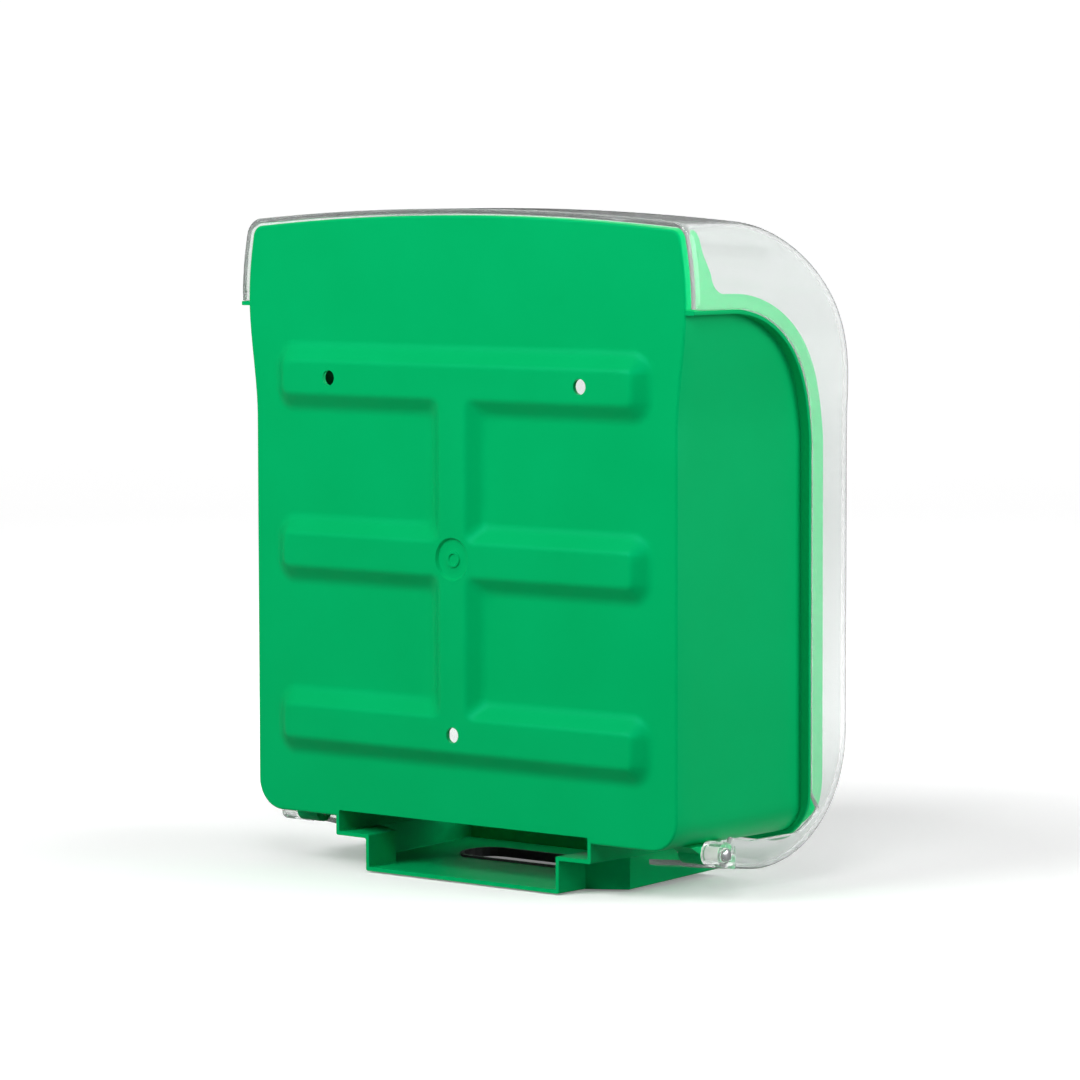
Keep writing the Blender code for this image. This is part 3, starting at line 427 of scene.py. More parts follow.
def loft(loops, name="loft"):
    """Closed solid through loops of points that all have the same count."""
    bm = bmesh.new()
    rings = [[bm.verts.new(p) for p in loop] for loop in loops]
    count = len(rings[0])
    for low, high in zip(rings, rings[1:]):
        for i in range(count):
            j = (i + 1) % count
            bm.faces.new((low[i], low[j], high[j], high[i]))
    bm.faces.new(rings[0])
    bm.faces.new(rings[-1])
    return to_object(name, bm)


def prism_y(outline, near, far, **kw):
    return loft([[(x, -d, z) for x, z in outline] for d in (near, far)], **kw)


def prism_x(outline, x0, x1, **kw):
    return loft([[(x, -d, z) for d, z in outline] for x in (x0, x1)], **kw)


def prism_z(outline, z0, z1, **kw):
    return loft([[(x, -d, z) for x, d in outline] for z in (z0, z1)], **kw)


def turned(axis, centre, profile, segments=48, **kw):
    """Turned solid: (radius, distance along the axis) pairs about X, -Y or Z through a centre."""
    along, side, up = {
        "X": (Vector((1, 0, 0)), Vector((0, 1, 0)), Vector((0, 0, 1))),
        "Y": (Vector((0, -1, 0)), Vector((1, 0, 0)), Vector((0, 0, 1))),
        "Z": (Vector((0, 0, 1)), Vector((1, 0, 0)), Vector((0, 1, 0))),
    }[axis]
    loops = []
    for radius, distance in profile:
        angles = [2 * math.pi * k / segments for k in range(segments)]
        ring = [side * math.cos(a) * radius + up * math.sin(a) * radius for a in angles]
        loops.append([Vector(centre) + along * distance + p for p in ring])
    return loft(loops, **kw)


def arc(cx, cy, radius, start, end, steps):
    """Points on an arc, angles in degrees."""
    angles = [math.radians(start + (end - start) * k / steps) for k in range(steps + 1)]
    return [(cx + radius * math.cos(a), cy + radius * math.sin(a)) for a in angles]


def box_outline(a0, a1, b0, b1):
    return [(a0, b0), (a1, b0), (a1, b1), (a0, b1)]


def stadium(half_length, radius, steps=20):
    run = half_length - radius
    return arc(run, 0, radius, -90, 90, steps) + arc(-run, 0, radius, 90, 270, steps)


def rounded(points, radius, steps=4):
    """Closed outline with each corner replaced by an arc-like curve of about the given radius."""
    result = []
    count = len(points)
    for i, point in enumerate(points):
        p = Vector(point)
        before = Vector(points[i - 1]) - p
        after = Vector(points[(i + 1) % count]) - p
        reach = min(radius, before.length * 0.45, after.length * 0.45)
        a, b = p + before.normalized() * reach, p + after.normalized() * reach
        for k in range(steps + 1):
            t = k / steps
            result.append(tuple(a * (1 - t) ** 2 + p * 2 * t * (1 - t) + b * t ** 2))
    return result


def mirrored(half):
    return half + [(-x, z) for x, z in reversed(half)]


# --- Housing ---

def half_width(z):
    """Half-width of the housing at a height: straight, flared at the shoulder, closing above."""
    if z > SHOULDER_Z:
        return SHOULDER_HALF - SHOULDER_FALL * (z - SHOULDER_Z) ** 2
    t = min(max((z - FLARE_Z) / (SHOULDER_Z - FLARE_Z), 0.0), 1.0)
    return BODY_HALF + (SHOULDER_HALF - BODY_HALF) * t * t * (3 - 2 * t)


def spread(*stops):
    """Values from stop to stop: (start, end, step) runs, joined without repeats."""
    values = []
    for start, end, step in stops:
        count = max(1, round(abs(end - start) / step))
        values += [start + (end - start) * k / count for k in range(count)]
    return values + [stops[-1][1]]


def plate_columns():
    """Half-plate column positions, from the middle out, fine where the ribs slope."""
    end = RIB_END - 2.6 * MM
    foot = RIB_END + (RIB_BASE - RIB_FLAT) + 3.4 * MM
    half = spread((0, SLOPE_IN, 3.6 * MM), (SLOPE_IN, SLOPE_OUT, FINE), (SLOPE_OUT, end, 7 * MM),
                  (end, foot, FINE), (foot, BODY_HALF - 2 * MM, 3 * MM),
                  (BODY_HALF - 2 * MM, BODY_HALF, 1 * MM))
    return [-x for x in reversed(half[1:])] + half


def side_row(z, inset, lift=0.0):
    """One row of the plate between its corners, as plate_rows gives them."""
    slope = (half_width(z + MM) - half_width(z - MM)) / (2 * MM)
    size = math.hypot(1, slope)
    return z, half_width(z) - inset, (1 / size, -slope / size), lift


def plate_rows(inset):
    """Rows of the plate from the bottom up, as (z, half-width, outward normal, lift).

    The lift says how far a row follows the arched top: 0 for a straight row, 1 for the top edge.
    """
    rows = []
    radius = BOTTOM_CORNER - inset
    for k in range(10, 0, -1):
        a = math.radians(9 * k)
        z = BOTTOM_Z + BOTTOM_CORNER - radius * math.sin(a)
        width = BODY_HALF - BOTTOM_CORNER + radius * math.cos(a)
        rows.append((z, width, (math.cos(a), -math.sin(a)), 0.0))
    stops = [(BOTTOM_Z + BOTTOM_CORNER, -2 * RIB_PITCH - SLOPE_OUT, 5 * MM)]
    for centre in (-2 * RIB_PITCH, -RIB_PITCH, 0.0):
        stops += [(centre - SLOPE_OUT, centre - SLOPE_IN, FINE),
                  (centre - SLOPE_IN, centre + SLOPE_IN, 3.6 * MM),
                  (centre + SLOPE_IN, centre + SLOPE_OUT, FINE)]
        if centre < 0:
            stops.append((centre + SLOPE_OUT, centre + RIB_PITCH - SLOPE_OUT, 6 * MM))
    stops.append((SLOPE_OUT, ARCH_FOOT_Z, 4 * MM))
    rows += [side_row(z, inset) for z in spread(*stops)]
    corner_z = TOP_Z - TOP_DROP - TOP_CORNER
    top_x = half_width(corner_z) - TOP_CORNER
    span = TOP_Z - TOP_DROP - inset - ARCH_FOOT_Z
    for z in spread((ARCH_FOOT_Z, corner_z, 4 * MM))[1:-1]:
        rows.append(side_row(z, inset, (z - ARCH_FOOT_Z) / span))
    for k in range(7):
        a = math.radians(10 + 80 * k / 6)
        z = corner_z + (TOP_CORNER - inset) * math.sin(a)
        width = top_x + (TOP_CORNER - inset) * math.cos(a)
        rows.append((z, width, (math.cos(a), math.sin(a)), (z - ARCH_FOOT_Z) / span))
    return rows, top_x


def plate_point(column, row, inset, top_x):
    """(x, z) of a grid point of the plate."""
    z, width, _, lift = row
    x = abs(column)
    if x > STRAIGHT_X:
        x = STRAIGHT_X + (x - STRAIGHT_X) / (BODY_HALF - STRAIGHT_X) * (width - STRAIGHT_X)
    if lift:
        top = TOP_Z - inset - TOP_DROP * min(x / top_x, 1.0) ** 2
        z = ARCH_FOOT_Z + lift * (top - ARCH_FOOT_Z)
    return math.copysign(x, column) if column else 0.0, z


def box_distance(x, z, half_x, half_z, radius):
    """Distance from a point to a box with round corners about the origin, negative inside."""
    qx, qz = abs(x) - half_x + radius, abs(z) - half_z + radius
    return math.hypot(max(qx, 0), max(qz, 0)) + min(max(qx, qz), 0) - radius


def rib_distance(x, z):
    """Distance from a point of the plate to the ribs' wall-contact face, blended where they meet."""
    bars = min(box_distance(x, z + RIB_PITCH * k, RIB_END, RIB_FLAT, RIB_CORNER) for k in range(3))
    upright = box_distance(x, z + RIB_PITCH, RIB_FLAT, RIB_PITCH, MM)
    h = max(RIB_BLEND - abs(bars - upright), 0) / RIB_BLEND
    return min(bars, upright) - h * h * RIB_BLEND / 4


def soft_ramp(d, run, head, foot):
    """0 to 1 over a run, rounded over the lengths head and foot at its two ends."""
    def bend(x, w):
        return 0.0 if x < -w else (x if x > w else (x + w) ** 2 / (4 * w))
    return (bend(d, head) - bend(d - run, foot)) / run


def plate_depth(x, z, inside):
    """Depth of the plate's rear or inner face at a point, with the ribs standing towards the wall."""
    d = rib_distance(x, z) + (RIB_INSIDE if inside else 0)
    depth = PLATE * soft_ramp(d, RIB_BASE - RIB_FLAT, RIB_HEAD, RIB_FOOT)
    return depth + (WALL if inside else 0)


def housing_skin(bm, inset, corner, front):
    """One skin of the pan: the plate as a grid, then rings round its edge out to the front."""
    columns = plate_columns()
    rows, top_x = plate_rows(inset)
    inside = inset > 0
    face_depth = PLATE + (WALL if inside else 0)
    spots = [[plate_point(c, row, inset, top_x) for c in columns] for row in rows]
    last = len(columns) - 1
    edge = [(0, j, (0.0, -1.0)) for j in range(last)]
    edge += [(i, last, rows[i][2]) for i in range(len(rows) - 1)]
    for j in range(last, 0, -1):
        x = spots[-1][j][0]
        slope = 2 * TOP_DROP * x / top_x ** 2 if abs(x) < top_x else 0
        size = math.hypot(1, slope)
        edge.append((len(rows) - 1, j, (slope / size, 1 / size)))
    edge += [(i, 0, (-rows[i][2][0], rows[i][2][1])) for i in range(len(rows) - 1, 0, -1)]
    rim = {(i, j): n for i, j, n in edge}
    grid = []
    for i, line in enumerate(spots):
        made = []
        for j, (x, z) in enumerate(line):
            n = rim.get((i, j))
            if n:
                made.append(bm.verts.new((x - n[0] * corner, -face_depth, z - n[1] * corner)))
            else:
                made.append(bm.verts.new((x, -plate_depth(x, z, inside), z)))
        grid.append(made)
    for low, high in zip(grid, grid[1:]):
        for j in range(last):
            bm.faces.new((low[j], low[j + 1], high[j + 1], high[j]))
    ring = [grid[i][j] for i, j, _ in edge]
    turns = [math.radians(a) for a in (22.5, 45, 67.5, 90)]
    steps = [(corner * (1 - math.sin(a)), face_depth + corner * (1 - math.cos(a))) for a in turns]
    start = face_depth + corner
    steps += [(0.0, start + (front - start) * k / 10) for k in range(1, 11)]
    for back, depth in steps:
        widen = 1 + DRAFT * (depth - PLATE) / BODY_HALF
        made = []
        for i, j, n in edge:
            x, z = spots[i][j]
            made.append(bm.verts.new(((x - n[0] * back) * widen, -depth, z - n[1] * back)))
        for k in range(len(ring)):
            m = (k + 1) % len(ring)
            bm.faces.new((ring[k], ring[m], made[m], made[k]))
        ring = made
    return ring


def housing_pan():
    """The moulding's pan: an outer and an inner skin joined round the front edge."""
    bm = bmesh.new()
    front = LIP_DEPTH + 4 * MM
    outer = housing_skin(bm, 0.0, PLATE_EDGE, front)
    inner = housing_skin(bm, WALL, PLATE_EDGE_INSIDE, front)
    for k in range(len(outer)):
        m = (k + 1) % len(outer)
        bm.faces.new((outer[k], outer[m], inner[m], inner[k]))
    return to_object("housing_shell", bm)


def front_cutter():
    """Everything in front of the side walls' edge."""
    outline = [(21 * MM, TOP_Z + 30 * MM), (21 * MM, 90 * MM), (24 * MM, 74 * MM)]
    outline += arc(29 * MM + LIP_NOTCH, LIP_Z + LIP_NOTCH, LIP_NOTCH, 180, 270, 12)
    outline += arc(LIP_DEPTH - LIP_RADIUS, LIP_Z - LIP_RADIUS, LIP_RADIUS, 90, 0, 40)
    outline += arc(LIP_DEPTH - LIP_FOOT_RADIUS, LIP_FOOT_Z, LIP_FOOT_RADIUS, 0, -60, 20)
    outline += [(LIP_DEPTH + 60 * MM, BOTTOM_Z - 60 * MM), (LIP_DEPTH + 60 * MM, TOP_Z + 30 * MM)]
    return prism_x(outline, -0.2, 0.2)


def rim_stations():
    """Rim path from its rear end on the right round under the floor: (root, tip, thickness axis)."""
    mid = RIM_THICK / 2
    stations = []

    def side(depth, z, axis):
        x = half_width(z) + DRAFT * (depth - PLATE)
        root = Vector((x - ROOT, -depth, z))
        stations.append((root, root + Vector((ROOT + RIM_PROUD, 0, 0)), axis))

    arc_x, arc_z = RIM_DEPTH - RIM_RADIUS, RIM_Z - RIM_RADIUS
    for k in range(6):
        depth = PLATE + 0.4 * MM + (arc_x - PLATE) * k / 6
        side(depth, RIM_Z + mid, Vector((0, 0, 1)))
    for d, z in arc(arc_x, arc_z, RIM_RADIUS + mid, 90, 0, 36):
        out = Vector((0, -(d - arc_x), z - arc_z)).normalized()
        side(d, z, out)
    corner_z = BOTTOM_Z - RIM_PROUD + RIM_CORNER
    for k in range(1, 12):
        side(RIM_DEPTH + mid, arc_z + (corner_z - arc_z) * k / 12, Vector((0, -1, 0)))
    wide = BODY_HALF + DRAFT * (RIM_DEPTH - PLATE)
    for k in range(17):
        a = math.radians(-90 * k / 16)
        tip = Vector((wide + RIM_PROUD - RIM_CORNER + RIM_CORNER * math.cos(a), -RIM_DEPTH - mid,
                      corner_z + RIM_CORNER * math.sin(a)))
        inner = BOTTOM_CORNER - ROOT
        root = Vector((wide - BOTTOM_CORNER + inner * math.cos(a), -RIM_DEPTH - mid,
                       BOTTOM_Z + BOTTOM_CORNER + inner * math.sin(a)))
        stations.append((root, tip, Vector((0, -1, 0))))
    for k in range(1, 10):
        x = (wide - RIM_CORNER) * (1 - k / 10)
        stations.append((Vector((x, -RIM_DEPTH - mid, BOTTOM_Z + ROOT)),
                         Vector((x, -RIM_DEPTH - mid, BOTTOM_Z - RIM_PROUD)), Vector((0, -1, 0))))
    flip = Vector((-1, 1, 1))
    other = [(r * flip, t * flip, a * flip) for r, t, a in reversed(stations)]
    return stations + other


def housing_rim():
    """Rim that the cover closes on, with rounded outer edges."""
    half, edge = RIM_THICK / 2, RIM_EDGE
    loops = []
    for root, tip, axis in rim_stations():
        out = (tip - root).normalized()
        length = (tip - root).length
        section = [(0, -half)] + arc(length - edge, -half + edge, edge, -90, 0, 3)
        section += arc(length - edge, half - edge, edge, 0, 90, 3) + [(0, half)]
        loops.append([root + out * u + axis * v for u, v in section])
    return loft(loops)


def chute(inset, rear, front, top, edge):
    """The chute: T-shaped at the wall side, flaring out to its full width in front."""
    def section(depth, neck):
        rise = CHUTE_RISE * max(depth - CHUTE_FLARE, 0.0)
        bottom = CHUTE_BOTTOM_Z + rise + inset
        wide, narrow, shelf = CHUTE_HALF - inset, neck - inset, CHUTE_SHELF_Z + inset
        half = [(narrow, bottom), (narrow + 0.1 * MM, shelf), (wide, shelf + 0.1 * MM), (wide, top)]
        return [(x, -depth, z) for x, z in rounded(mirrored(half), edge)]
    full = CHUTE_HALF - 0.4 * MM
    return loft([section(rear, CHUTE_NECK), section(CHUTE_FLARE, CHUTE_NECK),
                 section(CHUTE_FULL, full), section(front - 1 * MM, full), section(front, full - 0.6 * MM)])


def tilted_slot(half_length, radius, below, above):
    """Upright slot-shaped solid, tilted square to the chute's bottom."""
    height = CHUTE_BOTTOM_Z + CHUTE_RISE * (SLOT_DEPTH - CHUTE_FLARE)
    obj = prism_z(stadium(half_length, radius), below, above)
    place = Matrix.Translation((0, -SLOT_DEPTH, height)) @ Matrix.Rotation(-math.atan(CHUTE_RISE), 4, "X")
    obj.data.transform(place)
    return obj


def hinge_lug(side):
    outline = arc(HINGE_DEPTH, HINGE_Z, KNUCKLE_RADIUS - 0.4 * MM, 180, 360, 24)
    outline += [(HINGE_DEPTH + 15 * MM, BOTTOM_Z + 1 * MM), (HINGE_DEPTH - 15 * MM, BOTTOM_Z + 1 * MM)]
    return prism_x(outline, side * LUG_INNER, side * LUG_OUTER)


def make_housing():
    body = housing_pan()
    cut(body, front_cutter())
    join(body, housing_rim())
    outer = chute(0, PLATE + 0.1 * MM, CHUTE_FRONT, BOTTOM_Z + ROOT, 1.2 * MM)
    join(body, outer, hinge_lug(1), hinge_lug(-1))
    hollow = chute(CHUTE_WALL, PLATE - 3 * MM, CHUTE_FRONT - CHUTE_WALL, CHUTE_MOUTH_Z, 0.8 * MM)
    boolean(body, "DIFFERENCE", [hollow], mend=True)
    slot = tilted_slot(SLOT_HALF, SLOT_RADIUS, -3 * MM, 8 * MM)
    holes = [turned("Y", (x, 0, z), [(FIXING_RADIUS, -5 * MM), (FIXING_RADIUS, 20 * MM)])
             for x, z in ((-FIXING_X, 0), (FIXING_X, 0), (0, -2 * RIB_PITCH))]
    gate = [(12.6 * MM, -2 * MM), (12.4 * MM, 0.0), (11.2 * MM, 1.6 * MM), (10.4 * MM, 1.8 * MM),
            (5.6 * MM, 1.8 * MM), (5.0 * MM, 1.6 * MM), (4.6 * MM, 0.9 * MM), (4.0 * MM, 0.8 * MM),
            (3.2 * MM, 0.9 * MM), (2.6 * MM, 1.7 * MM)]
    gate = turned("Y", (0, 0, -RIB_PITCH), gate, 64)
    cut(body, slot, gate, *holes)
    add_bosses(body)
    bores = [turned("X", (side * LUG_INNER, -HINGE_DEPTH, HINGE_Z),
                    [(PIN_BORE, -2 * MM * side), (PIN_BORE, 20 * MM * side)]) for side in (1, -1)]
    cut(body, *bores)
    smooth(body, 30.0)
    finish_piece(body, "housing", "moulded_green", "rear_housing")


def add_bosses(body):
    """Screw bosses for the bag guides on the back plate and for the bag shelf on the floor."""
    posts, pilots = [], []

    def boss(axis, centre, foot, tip):
        posts.append(turned(axis, centre, [(BOSS_BASE, foot - 1 * MM), (BOSS_TIP, tip)]))
        pilots.append(turned(axis, centre, [(PILOT, foot - 0.5 * MM), (PILOT, tip + 5 * MM)]))

    for _, side in SIDES:
        for _, z in GUIDE_SCREW_Z:
            boss("Y", (side * GUIDE_SCREW_X, 0, z), PLATE + WALL, GUIDE_BOSS_DEPTH)
        for _, depth in SHELF_SCREW_DEPTH:
            boss("Z", (side * SHELF_SCREW_X, -depth, 0), BOTTOM_Z + WALL, SHELF_BOSS_Z)
    join(body, *posts)
    cut(body, *pilots)


# --- Cover ---

def reach_to_rim(angle):
    """Distance from the skin of the upper curve to the rim's outer curve, along the normal."""
    off_y = COVER_FRONT - COVER_TOP_RADIUS - (RIM_DEPTH - RIM_RADIUS)
    off_z = COVER_TOP_Z - COVER_TOP_RADIUS - (RIM_Z - RIM_RADIUS)
    a = math.radians(angle)
    b = off_y * math.cos(a) + off_z * math.sin(a)
    c = off_y ** 2 + off_z ** 2 - (RIM_RADIUS + RIM_THICK + RIM_CLEAR) ** 2
    return COVER_TOP_RADIUS - (math.sqrt(b * b - c) - b)


def cover_profile():
    """Rows of the cover from its rear edge on top to the hinge: (depth, z, angle, reach, corner)."""
    rows = []
    top_y, top_z = COVER_FRONT - COVER_TOP_RADIUS, COVER_TOP_Z - COVER_TOP_RADIUS
    top_reach = COVER_TOP_Z - (RIM_Z + RIM_THICK + RIM_CLEAR)
    front_reach = COVER_FRONT - (RIM_DEPTH + RIM_THICK + RIM_CLEAR)
    for k in range(8):
        y = COVER_REAR + (top_y - COVER_REAR) * k / 8
        rows.append((y, COVER_TOP_Z, 90, top_reach, COVER_TOP_CORNER))
    for k in range(43):
        t = k / 42
        y, z = arc(top_y, top_z, COVER_TOP_RADIUS, 90 - 90 * t, 0, 1)[0]
        corner = COVER_TOP_CORNER + (COVER_CORNER - COVER_TOP_CORNER) * t
        rows.append((y, z, 90 - 90 * t, reach_to_rim(90 - 90 * t), corner))
    base_y, base_z = COVER_FRONT - COVER_BOTTOM_RADIUS, COVER_BOTTOM_Z + COVER_BOTTOM_RADIUS
    foot_z = RIM_Z - RIM_RADIUS
    for k in range(12):
        rows.append((COVER_FRONT, foot_z + (base_z - foot_z) * k / 12, 0, front_reach, COVER_CORNER))
    deepest = COVER_BOTTOM_RADIUS - COVER_CORNER - 0.5 * MM
    for k in range(43):
        a = -90 * k / 42
        y, z = arc(base_y, base_z, COVER_BOTTOM_RADIUS, a, 0, 1)[0]
        back = (COVER_FRONT - front_reach - base_y) / max(math.cos(math.radians(a)), 0.3)
        down = (base_z - EAR_TOP_Z) / max(-math.sin(math.radians(a)), 0.3)
        inner = min(max(back if a > -60 else 0, down if a < -45 else 0), deepest)
        rows.append((y, z, a, COVER_BOTTOM_RADIUS - inner, COVER_CORNER))
    ear = EAR_TOP_Z - COVER_BOTTOM_Z
    for k in range(1, 10):
        t = k / 9
        rise = EAR_RISE * t ** 1.5
        reach = max(ear - rise, COVER_CORNER + 0.5 * MM)
        rows.append((base_y - (base_y - HINGE_DEPTH - 2 * MM) * t, COVER_BOTTOM_Z + rise, -90 - 18 * t,
                     reach, COVER_CORNER))
    return rows


def cover_section(y, z, angle, reach, corner, thick):
    """Half of one cross-section, from the crown to the side wall's edge, moved in by a thickness."""
    a = math.radians(angle)
    out = Vector((0, -math.cos(a), math.sin(a)))
    base = Vector((0, -y, z))
    corner_x = BODY_HALF + COVER_OFFSET + DRAFT * COVER_FRONT - corner
    points = []
    for k in range(20):
        x = corner_x * k / 19
        points.append(Vector((x, 0, 0)) + base + out * (COVER_CROWN * (1 - (k / 19) ** 2) - thick))
    radius = corner - thick
    for k in range(1, 13):
        b = math.radians(90 - 7.5 * k)
        points.append(Vector((corner_x + radius * math.cos(b), 0, 0)) + base
                      - out * (corner - radius * math.sin(b)))
    for k in range(1, 9):
        sink = corner + (reach - corner) * k / 8
        points.append(Vector((corner_x + radius, 0, 0)) + base - out * sink)
    return [follow_housing(p, corner_x) for p in points]


def follow_housing(point, corner_x):
    """Widen or narrow a point so that the cover's sides stay parallel to the housing's."""
    nominal = BODY_HALF + DRAFT * COVER_FRONT
    actual = half_width(point.z) + DRAFT * max(-point.y - PLATE, 0.0)
    share = min(point.x / corner_x, 1.0) ** 2
    return Vector((point.x + (actual - nominal) * share, point.y, point.z))


def cover_grid(thick):
    grid = []
    for row in cover_profile():
        half = cover_section(*row, thick)
        grid.append([Vector((-p.x, p.y, p.z)) for p in reversed(half[1:])] + half)
    return grid


def boundary(grid):
    """(point, inner neighbour) round the edge of a grid."""
    rows, last = len(grid), len(grid[0]) - 1
    loop = [(grid[0][j], grid[1][j]) for j in range(last)]
    loop += [(grid[i][last], grid[i][last - 1]) for i in range(rows - 1)]
    loop += [(grid[-1][j], grid[-2][j]) for j in range(last, 0, -1)]
    loop += [(grid[i][0], grid[i][1]) for i in range(rows - 1, 0, -1)]
    return loop


def cover_shell():
    """The cover's skin as a closed solid, with its open edge rounded."""
    bm = bmesh.new()
    edges = []
    grids = [cover_grid(0.0), cover_grid(COVER_WALL)]
    for grid in grids:
        verts = [[bm.verts.new(p) for p in row] for row in grid]
        for low, high in zip(verts, verts[1:]):
            for j in range(len(low) - 1):
                bm.faces.new((low[j], low[j + 1], high[j + 1], high[j]))
        edges.append([v for v, _ in boundary(verts)])
    outer, inner = (boundary(grid) for grid in grids)
    rings = [edges[0]]
    for angle in (30, 60, 90, 120, 150):
        a = math.radians(angle)
        ring = []
        for (p, p_in), (q, q_in) in zip(outer, inner):
            away = ((p - p_in).normalized() + (q - q_in).normalized()).normalized()
            middle = (p + q) / 2 + (p - q) / 2 * math.cos(a)
            ring.append(bm.verts.new(middle + away * 0.7 * MM * math.sin(a)))
        rings.append(ring)
    rings.append(edges[1])
    for low, high in zip(rings, rings[1:]):
        for k in range(len(low)):
            m = (k + 1) % len(low)
            bm.faces.new((low[k], low[m], high[m], high[k]))
    return to_object("clear_cover", bm)


def knuckle(side):
    outline = arc(HINGE_DEPTH, HINGE_Z, KNUCKLE_RADIUS, 60, 270, 40)
    outline += [(HINGE_DEPTH + 9 * MM, HINGE_Z - 9 * MM), (HINGE_DEPTH + 9 * MM, HINGE_Z + 4 * MM)]
    return prism_x(outline, side * KNUCKLE_INNER, side * KNUCKLE_OUTER)


def make_cover():
    cover = cover_shell()
    boss = [(LOCK_BOSS + 1.5 * MM, 161 * MM), (LOCK_BOSS, 165.5 * MM), (LOCK_BOSS, LOCK_FACE - 1 * MM),
            (LOCK_BOSS - 0.3 * MM, LOCK_FACE - 0.3 * MM), (LOCK_BOSS - 1 * MM, LOCK_FACE)]
    join(cover, turned("Y", LOCK_CENTRE, boss, 64))
    pocket = [(LOCK_POCKET, 140 * MM), (LOCK_POCKET, LOCK_SEAT)]
    bore = [(LOCK_BORE, 140 * MM), (LOCK_BORE, 180 * MM)]
    slot = [(x, d) for d, x in arc(CHUTE_CUT_DEPTH - 12 * MM, CHUTE_CUT_HALF - 12 * MM, 12 * MM, 90, 0, 12)]
    slot = [(CHUTE_CUT_HALF, 20 * MM)] + slot
    slot = slot + [(-x, d) for x, d in reversed(slot)]
    cut(cover, turned("Y", LOCK_CENTRE, pocket, 64), turned("Y", LOCK_CENTRE, bore, 64),
        prism_z(slot, COVER_BOTTOM_Z - 30 * MM, COVER_BOTTOM_Z + 35 * MM))
    for side in (1, -1):
        join(cover, knuckle(side))
        relief = box_outline(30 * MM, HINGE_DEPTH + 14 * MM, -290 * MM, -240 * MM)
        relief = prism_x(relief, side * (CHUTE_CUT_HALF - 2 * MM), side * KNUCKLE_INNER)
        bore = turned("X", (side * KNUCKLE_INNER, -HINGE_DEPTH, HINGE_Z),
                      [(BUSH_BORE, -3 * MM * side), (BUSH_BORE, 20 * MM * side)])
        cut(cover, relief, bore)
    smooth(cover, 40.0)
    finish_piece(cover, "cover", "clear_cover", "front_cover")


# --- Fasteners and hinge ---

def cross_outline(cx, cy, reach, half):
    """Outline of a cross recess about a point."""
    corner = [(half, reach), (half, half), (reach, half)]
    points = []
    for turn in range(4):
        for u, v in reversed(corner):
            for _ in range(turn):
                u, v = -v, u
            points.append((cx + u, cy + v))
    return points


def screw(node, axis, centre, tip, seat, shank, head, height, body="housing"):
    """Pan-head screw with a cross recess, its head beyond the seat and away from the tip."""
    way = math.copysign(1, seat - tip)
    dome = arc(head - 0.9 * MM, 0, 0.9 * MM, 0, 60, 5)
    profile = [(shank - 0.4 * MM, tip), (shank, tip + 0.5 * MM * way), (shank, seat),
               (head - 0.15 * MM, seat), (head, seat + 0.15 * MM * way)]
    profile += [(r, seat + way * (height - 1.3 * MM + rise)) for r, rise in dome]
    profile += [(head * 0.62, seat + way * (height - 0.16 * MM)), (head * 0.3, seat + way * height)]
    piece = turned(axis, centre, profile, name="fine_" + node)
    x, y, z = centre
    prism, place = {"X": (prism_x, (-y, z)), "Y": (prism_y, (x, z)), "Z": (prism_z, (x, -y))}[axis]
    recess = cross_outline(*place, head * 0.58, head * 0.12)
    cut(piece, prism(recess, seat + 0.35 * height * way, seat + 2 * height * way))
    smooth(piece, 40.0)
    finish_piece(piece, body, "zinc_steel", node)


def nut(node, axis, centre, near, far, radius, bore, body):
    """Hexagon nut with its corners chamfered on both faces."""
    low, high = sorted((near, far))
    side = 0.5 * MM
    piece = turned(axis, centre, [(radius, low), (radius, high)], 6, name="fine_" + node)
    trim = turned(axis, centre, [(radius - side, low - 0.01 * MM), (radius + 0.1 * MM, low + side),
                                 (radius + 0.1 * MM, high - side), (radius - side, high + 0.01 * MM)], 48)
    boolean(piece, "INTERSECT", [trim])
    cut(piece, turned(axis, centre, [(bore, low - 1 * MM), (bore, high + 1 * MM)]))
    smooth(piece, 30.0)
    finish_piece(piece, body, "zinc_steel", node)


def make_screws():
    for name, side in SIDES:
        for level, z in GUIDE_SCREW_Z:
            screw("guide_screw_%s_%s" % (level, name), "Y", (side * GUIDE_SCREW_X, 0, z),
                  10.5 * MM, 17.8 * MM, SHANK, HEAD, 2.4 * MM)
        for level, depth in SHELF_SCREW_DEPTH:
            screw("shelf_screw_%s_%s" % (level, name), "Z", (side * SHELF_SCREW_X, -depth, 0),
                  SHELF_Z - 3.8 * MM, SHELF_Z + 2.3 * MM, SHANK, HEAD, 2.4 * MM)
        bar = (0, -BAR_SCREW_DEPTH, BAR_Z)
        screw("bar_screw_" + name, "X", bar, side * (GUIDE_X + 5 * MM), side * (GUIDE_X - 3.9 * MM),
              SHANK, HEAD, 2.2 * MM)
        nut("bar_nut_" + name, "X", bar, side * (GUIDE_X + 0.3 * MM), side * (GUIDE_X + 3.5 * MM),
            4.4 * MM, 2.3 * MM, "housing")


def hinge_pin(name, side, centre):
    """Plain pin with a low domed head outside the cover's knuckle."""
    head = KNUCKLE_OUTER + 0.3 * MM
    profile = [(1.6 * MM, LUG_INNER - 5 * MM), (2 * MM, LUG_INNER - 4.6 * MM), (2 * MM, head),
               (3.4 * MM, head), (3.5 * MM, head + 0.1 * MM), (3.5 * MM, head + 0.7 * MM),
               (3.2 * MM, head + 1.3 * MM), (2.2 * MM, head + 1.65 * MM), (0.8 * MM, head + 1.8 * MM)]
    pin = turned("X", centre, [(r, side * x) for r, x in profile], name="fine_pin_" + name)
    smooth(pin)
    finish_piece(pin, "housing", "zinc_steel", "hinge_pin_" + name)


